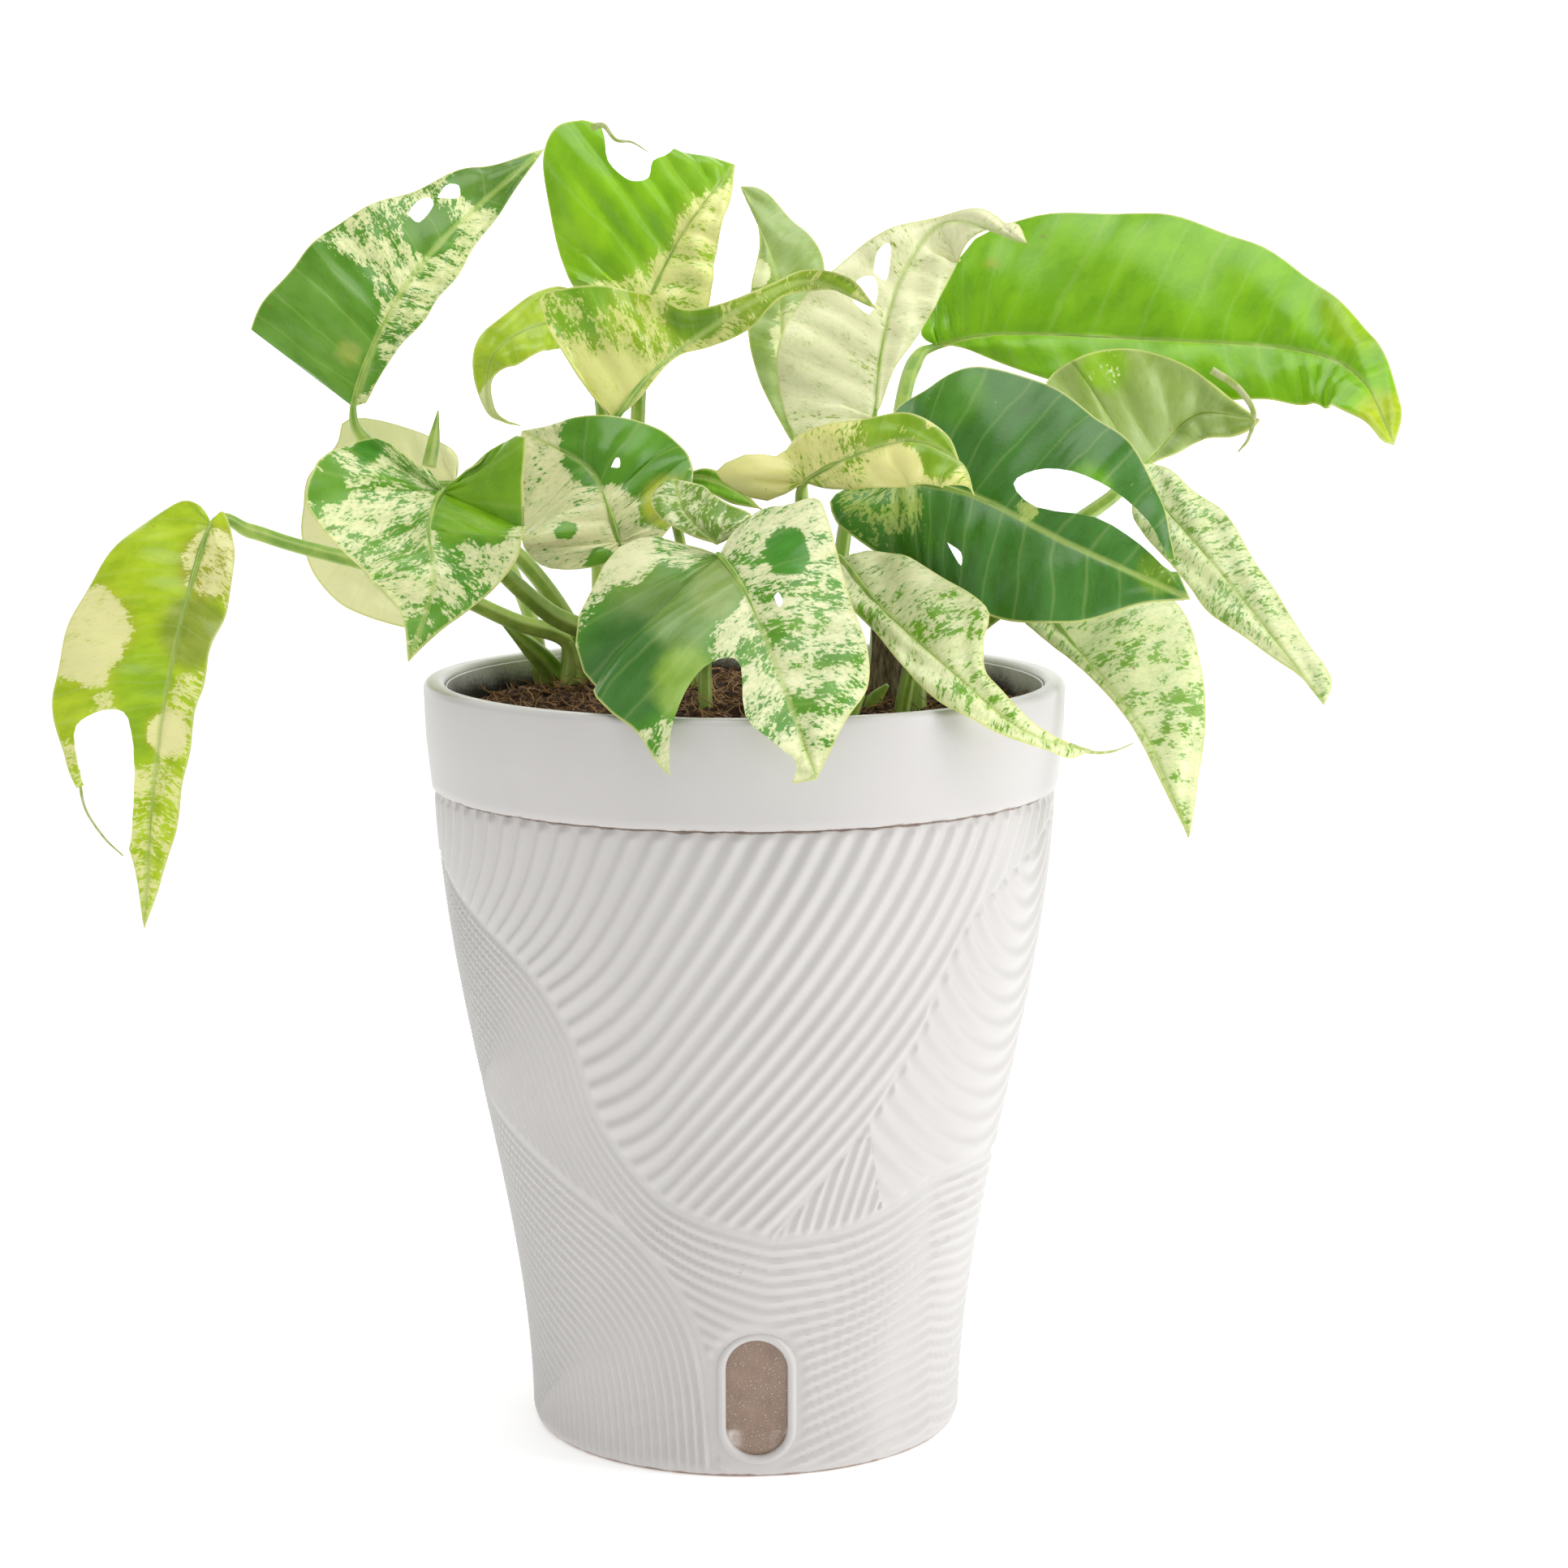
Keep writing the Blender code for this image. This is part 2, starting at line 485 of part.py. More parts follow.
def half_grid(leaf, side):
    """Rows of points over one half of a blade, each from the midrib out to the margin.
    The lobe behind the stalk fans out from the midrib's foot, and both halves share the other rows' roots."""
    mid = smooth_curve(leaf["mid"], FINE_STEPS)
    flat = mid[:, [0, 2]]
    length = np.sum(np.linalg.norm(np.diff(flat, axis=0), axis=1))
    given = [(*point[:2], point[2] if len(point) > 2 else 0) for point in leaf[side]]
    curve = smooth_curve([(*flat[0], 0), *given, (*flat[-1], 0)], FINE_STEPS)
    margin, shares = [], []
    for x, z, extra in curve:
        away = np.linalg.norm(flat - (x, z), axis=1)
        nearest = int(away.argmin())
        depth = leaf["lean"][side == "right"] * away[nearest] + leaf["tilt"] * (z - mid[nearest, 2])
        margin.append((x, mid[nearest, 1] + depth + extra, z))
        shares.append(nearest / FINE_STEPS - VEIN_SWEEP * away[nearest] / length)
    margin = np.array(margin)
    shares = np.maximum.accumulate(np.clip(shares, 0, 1))
    shares[0], shares[-1] = 0, 1
    lobe = int(np.flatnonzero(shares == 0)[-1])
    along = np.arange(FINE_STEPS + 1)
    lobe = lobe if lobe >= SHORTEST_LOBE else 0
    starts = [(0, lobe * k / FAN_ROWS) for k in range(FAN_ROWS if lobe else 0)]
    shared = [k / BLADE_ROWS for k in range(BLADE_ROWS + 1)]
    rising = shares[lobe:] + 1e-6 * along[lobe:]
    starts += [(share, np.interp(share, rising, along[lobe:])) for share in shared]
    root = curve_points(mid, [share * FINE_STEPS for share, _ in starts])
    edge = curve_points(margin, [place for _, place in starts])
    edge[-1] = root[-1]
    width = edge - root
    outward = np.cross(width, np.gradient(edge, axis=0))
    outward /= np.linalg.norm(outward, axis=1, keepdims=True) + 1e-9
    outward[outward[:, 1] > 0] *= -1
    swell = leaf["cup"] * np.linalg.norm(width, axis=1)[:, None] * outward
    across = [column / BLADE_COLUMNS for column in range(BLADE_COLUMNS + 1)]
    return [root + u * width + 2 * u * (1 - u) * swell for u in across]


def make_blade(name, leaf):
    """A blade: both halves lofted from the midrib, joined along it, and given a thickness."""
    bm = bmesh.new()
    for side in ("left", "right"):
        grid = half_grid(leaf, side)
        verts = [[bm.verts.new(Vector(point) * MM) for point in line] for line in grid]
        for column in range(BLADE_COLUMNS):
            for row in range(len(grid[0]) - 1):
                corners = [verts[column][row], verts[column + 1][row],
                           verts[column + 1][row + 1], verts[column][row + 1]]
                bm.faces.new(corners if side == "left" else corners[::-1])
    bmesh.ops.remove_doubles(bm, verts=bm.verts, dist=NARROWEST)
    bmesh.ops.triangulate(bm, faces=bm.faces)
    mesh = bpy.data.meshes.new("blade_" + name)
    bm.to_mesh(mesh)
    bm.free()
    blade = add_object("blade_" + name, mesh, materials["leaf"])
    skin = blade.modifiers.new("thickness", "SOLIDIFY")
    skin.thickness = BLADE_THICKNESS
    skin.offset = 0
    depths = [vert.co.y / MM for vert in mesh.vertices]
    for index, outline in enumerate(leaf["cuts"]):
        add_cutter(make_blade_cutter(f"cut_{name}_{index}", outline, min(depths), max(depths)), blade)
    return blade


def make_blade_cutter(name, outline, front, back):
    """A prism through the blade, from in front of it to behind it."""
    reach = 5
    closed = [*outline, outline[0]]
    points = smooth_curve(closed, 2 * len(outline))[:-1]
    bm = bmesh.new()
    ring = [bm.verts.new(Vector((x, front - reach, z)) * MM) for x, z in points]
    face = bm.faces.new(ring)
    made = bmesh.ops.extrude_face_region(bm, geom=[face])["geom"]
    moved = [part for part in made if isinstance(part, bmesh.types.BMVert)]
    bmesh.ops.translate(bm, verts=moved, vec=(0, (back - front + 2 * reach) * MM, 0))
    bmesh.ops.recalc_face_normals(bm, faces=bm.faces)
    mesh = bpy.data.meshes.new(name)
    bm.to_mesh(mesh)
    bm.free()
    return add_object(name, mesh, materials["dark"], CUTTERS)


def make_tube(name, route, radii, material, steps=8, sides=1):
    """A stalk: a tube along a smooth route, tapering from its foot to its top."""
    curve = bpy.data.curves.new(name, "CURVE")
    curve.dimensions = "3D"
    curve.bevel_depth = 1 * MM
    curve.bevel_resolution = sides
    curve.use_fill_caps = True
    points = smooth_curve(route, steps)
    spline = curve.splines.new("POLY")
    spline.points.add(len(points) - 1)
    for index, (point, place) in enumerate(zip(spline.points, points)):
        point.co = (*(Vector(place) * MM), 1)
        point.radius = radii[0] + (radii[1] - radii[0]) * index / steps
    return add_object(name, curve, material)


def make_stalk(name, leaf):
    """A leaf stalk. It stops just short of the blade that it carries."""
    short_by = 2.8
    base = Vector(leaf["mid"][0])
    last = Vector(leaf["stalk"][-1])
    end = base + (last - base).normalized() * short_by
    return make_tube("stalk_" + name, [*leaf["stalk"], tuple(end)], leaf["radius"], materials["stalk"])


def make_stems():
    """What the stalks grow from, the old stem, cut stubs and small shoots."""
    stalk = materials["stalk"]
    make_tube("crown_left", [(-40, 36, 173), (-40, 36, 176), (-40, 35, 179)], (5, 4), stalk, 3, 2)
    make_tube("old_stem", [(34, 4, 173), (34, 5, 181), (33, 6, 190)], (4.2, 3), materials["bark"], 4, 2)
    make_tube("stub_tall", [(36, -30, 173), (37, -31, 179), (38, -32, 184)], (1.6, 1.4), stalk, 3)
    make_tube("stub_short", [(23, -43, 173), (26, -41, 178)], (1.6, 1.3), stalk, 2)
    make_tube("basal_bud", [(29, -14, 173), (31, -15, 176), (33, -16, 178)], (1.5, 0.8), stalk, 3)
    make_tube("sheath_left", [(-47, 40, 174), (-52, 36, 180), (-58, 33, 186)], (2, 1), stalk, 3)
    rolled = [(-75, 19, 226), (-74, 21, 232), (-73, 22, 238)]
    make_tube("rolled_leaf", rolled, (1.6, 0.3), materials["leaf"], 4)


clear_scene()
make_collection(PARTS, False)
make_collection(CUTTERS, True)
materials = {
    "paint": make_material("white_paint", (0.70, 0.69, 0.67), 0.35),
    "liner": make_material("black_plastic", (0.02, 0.02, 0.02), 0.5),
    "lens": make_material("clear_plastic", (0.30, 0.19, 0.14), 0.3),
    "mix": make_material("coir_mix", (0.045, 0.02, 0.01), 0.95),
    "leaf": make_material("variegated_leaf", (0.42, 0.55, 0.16), 0.4),
    "stalk": make_material("green_stalk", (0.30, 0.42, 0.08), 0.45),
    "bark": make_material("old_bark", (0.16, 0.11, 0.07), 0.85),
    "dark": make_material("cutter", (0.1, 0.1, 0.1), 0.5),
}
make_outer_pot()
make_window()
make_inner_pot()
make_potting_mix()
make_stems()
for leaf_name, leaf_shape in LEAVES.items():
    make_blade(leaf_name, leaf_shape)
    if "stalk" in leaf_shape:
        make_stalk(leaf_name, leaf_shape)
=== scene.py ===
# Looks for a marbled split-leaf vine in a two-part self-watering pot.
# Shapes are in millimetres until their mesh is made. The front of the pot is -Y.
import math

import bmesh
import bpy
import numpy as np
from mathutils import Matrix, Vector


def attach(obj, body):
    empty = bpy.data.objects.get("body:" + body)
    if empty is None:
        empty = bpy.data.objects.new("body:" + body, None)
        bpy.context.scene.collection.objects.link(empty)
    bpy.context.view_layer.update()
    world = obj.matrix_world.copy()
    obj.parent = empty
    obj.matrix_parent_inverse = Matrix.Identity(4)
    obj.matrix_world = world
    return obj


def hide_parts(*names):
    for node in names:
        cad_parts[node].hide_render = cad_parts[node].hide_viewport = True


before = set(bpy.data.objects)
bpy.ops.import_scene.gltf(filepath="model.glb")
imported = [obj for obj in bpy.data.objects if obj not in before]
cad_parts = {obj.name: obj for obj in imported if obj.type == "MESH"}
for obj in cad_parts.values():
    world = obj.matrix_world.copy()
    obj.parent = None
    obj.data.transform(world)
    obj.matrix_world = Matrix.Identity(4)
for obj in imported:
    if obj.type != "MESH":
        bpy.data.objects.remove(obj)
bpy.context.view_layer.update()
mm = 0.001
scene = bpy.context.scene
random = np.random.default_rng(7)


def hexToLinear(code):
    values = [int(code[k:k + 2], 16) / 255 for k in (1, 3, 5)]
    linear = [v / 12.92 if v <= 0.04045 else ((v + 0.055) / 1.055) ** 2.4 for v in values]
    return (*linear, 1)


def addNode(tree, kind, inputs=None, **settings):
    node = tree.nodes.new(kind)
    for key, value in settings.items():
        setattr(node, key, value)
    for key, value in (inputs or {}).items():
        if isinstance(value, bpy.types.NodeSocket):
            tree.links.new(value, node.inputs[key])
        else:
            node.inputs[key].default_value = value
    return node


def newMaterial(name):
    material = bpy.data.materials.new(name)
    material.use_nodes = True
    tree = material.node_tree
    return material, tree, tree.nodes["Principled BSDF"]


def smoothCurve(points, steps):
    # Points at even steps along a Catmull-Rom curve through the given ones.
    given = np.asarray(points, float)
    given = np.vstack([2 * given[0] - given[1], given, 2 * given[-1] - given[-2]])
    spans = len(given) - 3
    place = np.arange(steps + 1) * spans / steps
    index = np.minimum(place.astype(int), spans - 1)
    f = (place - index)[:, None]
    a, b, c, d = (given[index + k] for k in range(4))
    return 0.5 * (2 * b + (c - a) * f + (2 * a - 5 * b + 4 * c - d) * f**2 + (3 * b - a - 3 * c + d) * f**3)


def smoothStep(low, high, value):
    t = np.clip((np.asarray(value, float) - low) / (high - low), 0, 1)
    return t * t * (3 - 2 * t)


def gridFaces(rows, columns, first=0, wrap=False):
    # Quads over a grid of points stored row by row. wrap joins the last column to the first.
    last = columns if wrap else columns - 1
    faces = []
    for row in range(rows - 1):
        for column in range(last):
            a = first + row * columns + column
            b = first + row * columns + (column + 1) % columns
            faces.append((a, b, b + columns, a + columns))
    return faces


def meshFrom(name, points, faces):
    # A mesh in metres from points in millimetres, with its faces turned outwards.
    mesh = bpy.data.meshes.new(name)
    mesh.from_pydata([tuple(p) for p in np.asarray(points) * mm], [], faces)
    bm = bmesh.new()
    bm.from_mesh(mesh)
    bmesh.ops.remove_doubles(bm, verts=bm.verts, dist=0.002 * mm)
    bmesh.ops.recalc_face_normals(bm, faces=bm.faces)
    bm.to_mesh(mesh)
    bm.free()
    return mesh


def applied(thing):
    # The object's mesh with its modifiers applied, as plain data. The object is removed.
    bpy.context.view_layer.update()
    graph = bpy.context.evaluated_depsgraph_get()
    mesh = bpy.data.meshes.new_from_object(thing.evaluated_get(graph))
    bpy.data.objects.remove(thing, do_unlink=True)
    return mesh


def addObject(name, data):
    thing = bpy.data.objects.new(name, data)
    scene.collection.objects.link(thing)
    return thing


def finishPiece(name, mesh, material, body, nodes=(), sharp=50):
    # Puts a finished mesh in the scene as a piece that rides a body and stands for its CAD nodes.
    mesh.materials.clear()
    mesh.materials.append(material)
    mesh.polygons.foreach_set("use_smooth", [True] * len(mesh.polygons))
    mesh.set_sharp_from_angle(angle=math.radians(sharp))
    piece = addObject(name, mesh)
    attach(piece, body)
    if nodes:
        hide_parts(*nodes)
    return piece


def cutWith(mesh, cutters):
    # The mesh with closed cutter meshes taken out of it.
    thing = addObject("being_cut", mesh)
    made = []
    for cutter in cutters:
        other = addObject("cutter", cutter)
        made.append(other)
        cut = thing.modifiers.new("cut", "BOOLEAN")
        cut.object = other
        cut.solver = "EXACT"
    result = applied(thing)
    for other in made:
        bpy.data.objects.remove(other, do_unlink=True)
    return result


def prismFaces(count):
    # The sides and both ends of a prism whose two rings have count points each.
    return gridFaces(2, count, wrap=True) + [tuple(range(count)),
                                             tuple(range(2 * count - 1, count - 1, -1))]


def turnedMesh(name, profile, steps):
    # A closed profile of (radius, height), turned round the Z axis.
    angles = np.arange(steps) * 2 * math.pi / steps
    points = [(r * math.cos(a), r * math.sin(a), z) for r, z in profile for a in angles]
    faces = gridFaces(len(profile), steps, wrap=True)
    return meshFrom(name, points, faces)


footRadius = 50.4
seamRadius = 72
seamHeight = 153
rimRadius = 75
rimInnerRadius = 69.9
potHeight = 178
wall = 2.4
basketFloor = 48
cupRadius = 15
cupFloor = 6
linerWall = 1.6
soilHeight = 170
gap = 0.3
window = {"x": 3, "z": 19, "width": 14.2, "height": 28.4, "lip": 1.7}


def outerRadius(height):
    # The S-shaped side of the outer pot: nearly upright at the foot and at the seam.
    t = 0.97 * np.asarray(height, float) / seamHeight
    return footRadius + (seamRadius - footRadius) * t * t * (3 - 2 * t)


def windowFrame():
    # Where the window sits: on the front wall, tipped to follow its taper, in millimetres.
    half = window["height"] / 2
    rise = outerRadius(window["z"] + half) - outerRadius(window["z"] - half)
    depth = math.sqrt(outerRadius(window["z"]) ** 2 - window["x"] ** 2)
    tip = math.atan2(rise, 2 * half)
    turn = Matrix.Rotation(math.pi / 2 + tip, 4, "X")
    return Matrix.Translation((window["x"], -depth, window["z"])) @ turn


veinSpacing = 6.5


def makeLeafMaterial():
    # A living variegated leaf. Green cells grow in ragged flecks that stretch along the side veins,
    # over cream tissue with no colour of its own. The waxy skin gives a soft gloss, and light comes a
    # little way through.
    material, tree, shader = newMaterial("variegated vine leaf, waxy skin")
    pattern = addNode(tree, "ShaderNodeAttribute", attribute_name="pattern").outputs["Vector"]
    cover = addNode(tree, "ShaderNodeAttribute", attribute_name="cover").outputs["Fac"]
    green = addNode(tree, "ShaderNodeAttribute", attribute_name="greenTone").outputs["Color"]
    pale = addNode(tree, "ShaderNodeAttribute", attribute_name="paleTone").outputs["Color"]
    edge = addNode(tree, "ShaderNodeAttribute", attribute_name="edge").outputs["Fac"]
    along = addNode(tree, "ShaderNodeVectorMath", {0: pattern, 1: (0.42, 1, 1)},
                    operation="MULTIPLY").outputs[0]

    # patches about 7 mm across, flecks about 1.7 mm and grains of half a millimetre
    patches = addNode(tree, "ShaderNodeTexNoise", {"Vector": along, "Scale": 1 / 7,
                      "Detail": 2}).outputs["Fac"]
    flecks = addNode(tree, "ShaderNodeTexNoise", {"Vector": along, "Scale": 1 / 1.7, "Detail": 6,
                     "Roughness": 0.75}).outputs["Fac"]
    grains = addNode(tree, "ShaderNodeTexNoise", {"Vector": along, "Scale": 1 / 0.5,
                     "Detail": 2}).outputs["Fac"]
    field = addNode(tree, "ShaderNodeMath", {0: patches, 1: 0.22}, operation="MULTIPLY").outputs[0]
    field = addNode(tree, "ShaderNodeMath", {0: flecks, 1: 0.56, 2: field},
                    operation="MULTIPLY_ADD").outputs[0]
    field = addNode(tree, "ShaderNodeMath", {0: grains, 1: 0.22, 2: field},
                    operation="MULTIPLY_ADD").outputs[0]
    field = addNode(tree, "ShaderNodeMath", {0: cover, 1: 0.44, 2: field},
                    operation="MULTIPLY_ADD").outputs[0]
    isGreen = addNode(tree, "ShaderNodeMapRange", {"Value": field, "From Min": 0.71, "From Max": 0.734},
                      interpolation_type="SMOOTHSTEP").outputs[0]
    wash = addNode(tree, "ShaderNodeMapRange", {"Value": field, "From Min": 0.6, "From Max": 0.73,
                   "To Max": 0.34}, interpolation_type="SMOOTHSTEP").outputs[0]

    # the green varies between cells in shade and cells full of chlorophyll
    shade = addNode(tree, "ShaderNodeTexNoise", {"Vector": along, "Scale": 1 / 4.5, "Detail": 4,
                    "Roughness": 0.6}).outputs["Fac"]
    shadeRange = addNode(tree, "ShaderNodeMapRange", {"Value": shade, "From Min": 0.38,
                         "From Max": 0.64}).outputs[0]
    deep = addNode(tree, "ShaderNodeMix", {0: 1.0, 6: green, 7: (0.72, 0.8, 0.45, 1)},
                   data_type="RGBA", blend_type="MULTIPLY").outputs[2]
    greens = addNode(tree, "ShaderNodeMix", {0: shadeRange, 6: deep, 7: green}, data_type="RGBA").outputs[2]
    washed = addNode(tree, "ShaderNodeMix", {0: wash, 6: pale, 7: green}, data_type="RGBA").outputs[2]
    blotched = addNode(tree, "ShaderNodeMix", {0: isGreen, 6: washed, 7: greens},
                       data_type="RGBA").outputs[2]

    # side veins and the midrib are a little paler than the tissue beside them
    parts = addNode(tree, "ShaderNodeSeparateXYZ", {0: pattern})
    phase = addNode(tree, "ShaderNodeMath", {0: parts.outputs[1], 1: veinSpacing},
                    operation="DIVIDE").outputs[0]
    phase = addNode(tree, "ShaderNodeMath", {0: patches, 1: 0.5, 2: phase},
                    operation="MULTIPLY_ADD").outputs[0]
    phase = addNode(tree, "ShaderNodeMath", {0: phase, 1: 0.5}, operation="PINGPONG").outputs[0]
    vein = addNode(tree, "ShaderNodeMapRange", {"Value": phase, "From Min": 0, "From Max": 0.07,
                   "To Min": 0.14, "To Max": 0}).outputs[0]
    veined = addNode(tree, "ShaderNodeMix", {0: vein, 6: blotched, 7: hexToLinear("#cfdc8e")},
                     data_type="RGBA").outputs[2]
    side = addNode(tree, "ShaderNodeMath", {0: parts.outputs[0]}, operation="ABSOLUTE").outputs[0]
    rib = addNode(tree, "ShaderNodeMapRange", {"Value": side, "From Min": 0.3, "From Max": 1.1,
                  "To Min": 0.6, "To Max": 0}).outputs[0]
    ribbed = addNode(tree, "ShaderNodeMix", {0: rib, 6: veined, 7: hexToLinear("#bcd173")},
                     data_type="RGBA").outputs[2]

    # the margin is a thin horny yellow line, and a few dry brown specks dot the blade
    border = addNode(tree, "ShaderNodeMapRange", {"Value": edge, "From Min": 0.2, "From Max": 0.6,
                     "To Min": 0.75, "To Max": 0}).outputs[0]
    bordered = addNode(tree, "ShaderNodeMix", {0: border, 6: ribbed, 7: hexToLinear("#d8dc86")},
                       data_type="RGBA").outputs[2]
    cells = addNode(tree, "ShaderNodeTexVoronoi", {"Vector": pattern, "Scale": 0.13})
    spot = addNode(tree, "ShaderNodeMapRange", {"Value": cells.outputs["Distance"], "From Min": 0.03,
                   "From Max": 0.06, "To Min": 0.6, "To Max": 0}).outputs[0]
    spotted = addNode(tree, "ShaderNodeMix", {0: spot, 6: bordered, 7: hexToLinear("#94713a")},
                      data_type="RGBA").outputs[2]
    tree.links.new(spotted, shader.inputs["Base Color"])

    gloss = addNode(tree, "ShaderNodeMapRange", {"Value": shade, "From Min": 0.3, "From Max": 0.7,
                    "To Min": 0.22, "To Max": 0.36}).outputs[0]
    tree.links.new(gloss, shader.inputs["Roughness"])
    shader.inputs["IOR"].default_value = 1.45
    shader.inputs["Subsurface Weight"].default_value = 0.18
    shader.inputs["Subsurface Radius"].default_value = (0.7, 1, 0.3)
    shader.inputs["Subsurface Scale"].default_value = 0.6 * mm
    skin = addNode(tree, "ShaderNodeTexNoise", {"Vector": pattern, "Scale": 1 / 0.9, "Detail": 3,
                   "Roughness": 0.6}).outputs["Fac"]
    height = addNode(tree, "ShaderNodeMath", {0: vein, 1: -1.2, 2: skin},
                     operation="MULTIPLY_ADD").outputs[0]
    bump = addNode(tree, "ShaderNodeBump", {"Height": height, "Strength": 0.35,
                   "Distance": 0.12 * mm}).outputs[0]
    tree.links.new(bump, shader.inputs["Normal"])
    return material


def makeStalkMaterial():
    # A fleshy leaf stalk: green with paler raised ribs, yellower towards the soil, with a satin skin.
    material, tree, shader = newMaterial("leaf stalk, ribbed green skin")
    rib = addNode(tree, "ShaderNodeAttribute", attribute_name="rib").outputs["Fac"]
    along = addNode(tree, "ShaderNodeAttribute", attribute_name="along").outputs["Fac"]
    place = addNode(tree, "ShaderNodeTexCoord").outputs["Object"]
    mottle = addNode(tree, "ShaderNodeTexNoise", {"Vector": place, "Scale": 1 / (5 * mm),
                     "Detail": 4}).outputs["Fac"]
    streak = addNode(tree, "ShaderNodeMapRange", {"Value": mottle, "From Min": 0.4,
                     "From Max": 0.62}).outputs[0]
    body = addNode(tree, "ShaderNodeMix", {0: streak, 6: hexToLinear("#7fa83c"), 7: hexToLinear("#a8c457")},
                   data_type="RGBA").outputs[2]
    ribbed = addNode(tree, "ShaderNodeMix", {0: rib, 6: body, 7: hexToLinear("#cfdd8d")},
                     data_type="RGBA").outputs[2]
    yellow = addNode(tree, "ShaderNodeMapRange", {"Value": along, "From Min": 0, "From Max": 0.35,
                     "To Min": 0.4, "To Max": 0}).outputs[0]
    aged = addNode(tree, "ShaderNodeMix", {0: yellow, 6: ribbed, 7: hexToLinear("#c9cf7e")},
                   data_type="RGBA").outputs[2]
    tree.links.new(aged, shader.inputs["Base Color"])
    shader.inputs["Roughness"].default_value = 0.4
    shader.inputs["IOR"].default_value = 1.45
    shader.inputs["Subsurface Weight"].default_value = 0.12
    shader.inputs["Subsurface Radius"].default_value = (0.8, 1, 0.3)
    shader.inputs["Subsurface Scale"].default_value = 1 * mm
    bump = addNode(tree, "ShaderNodeBump", {"Height": mottle, "Strength": 0.2,
                   "Distance": 0.1 * mm}).outputs[0]
    tree.links.new(bump, shader.inputs["Normal"])
    return material


def mottledMaterial(name, finish):
    # A matt natural finish that wanders between two tones. "drawn" stretches its grain along Z.
    material, tree, shader = newMaterial(name)
    place = addNode(tree, "ShaderNodeTexCoord").outputs["Object"]
    if "drawn" in finish:
        place = addNode(tree, "ShaderNodeMapping",
                        {"Vector": place, "Scale": (1, 1, finish["drawn"])}).outputs[0]
    grain = addNode(tree, "ShaderNodeTexNoise", {"Vector": place, "Scale": 1 / (finish["grain"] * mm),
                    "Detail": finish["detail"], "Roughness": finish["grit"]}).outputs["Fac"]
    low, high = finish["span"]
    share = addNode(tree, "ShaderNodeMapRange", {"Value": grain, "From Min": low,
                    "From Max": high}).outputs[0]
    first, second = (hexToLinear(tone) for tone in finish["tones"])
    tone = addNode(tree, "ShaderNodeMix", {0: share, 6: first, 7: second}, data_type="RGBA").outputs[2]
    tree.links.new(tone, shader.inputs["Base Color"])
    shader.inputs["Roughness"].default_value = finish["roughness"]
    if "bump" in finish:
        strength, depth = finish["bump"]
        bump = addNode(tree, "ShaderNodeBump", {"Height": grain, "Strength": strength,
                       "Distance": depth * mm}).outputs[0]
        tree.links.new(bump, shader.inputs["Normal"])
    return material


# A withered leaf tip: thin straw-coloured tissue, matt and slightly green where it is still alive.
dryTip = {"grain": 2.5, "detail": 3, "grit": 0.5, "span": (0.42, 0.58), "tones": ("#a9bd5c", "#ccd09a"),
          "roughness": 0.55}

# An old stem: corky brown-grey bark with long dry fibres and darker cracks, quite matt.
bark = {"grain": 0.9, "detail": 5, "grit": 0.7, "drawn": 0.15, "span": (0.36, 0.66),
        "tones": ("#4a3a2a", "#a08f76"), "roughness": 0.85, "bump": (0.8, 0.4)}

# Moist coir and peat: very dark brown crumbs, matt, with lighter dry crumbs on top.
moistMix = {"grain": 1.4, "detail": 6, "grit": 0.7, "span": (0.4, 0.66), "tones": ("#23140c", "#5d3d24"),
            "roughness": 0.92, "bump": (0.9, 0.8)}


blades = {"rows": 56, "fanRows": 12, "columns": 14, "fineSteps": 240, "shortestLobe": 20, "veinSweep": 0.3,
          "tilt": 0.45, "thickness": 0.45, "quilt": 0.75, "ripple": 0.9, "rippleLength": 17, "buckle": 0.7,
          "buckleLength": 3.7, "crowding": 1.15, "fullWidth": 10, "patternSpan": 150, "edgeSpan": 50,
          "cutReach": 5, "patchFade": (0.75, 1.2), "patternShift": 37.0}

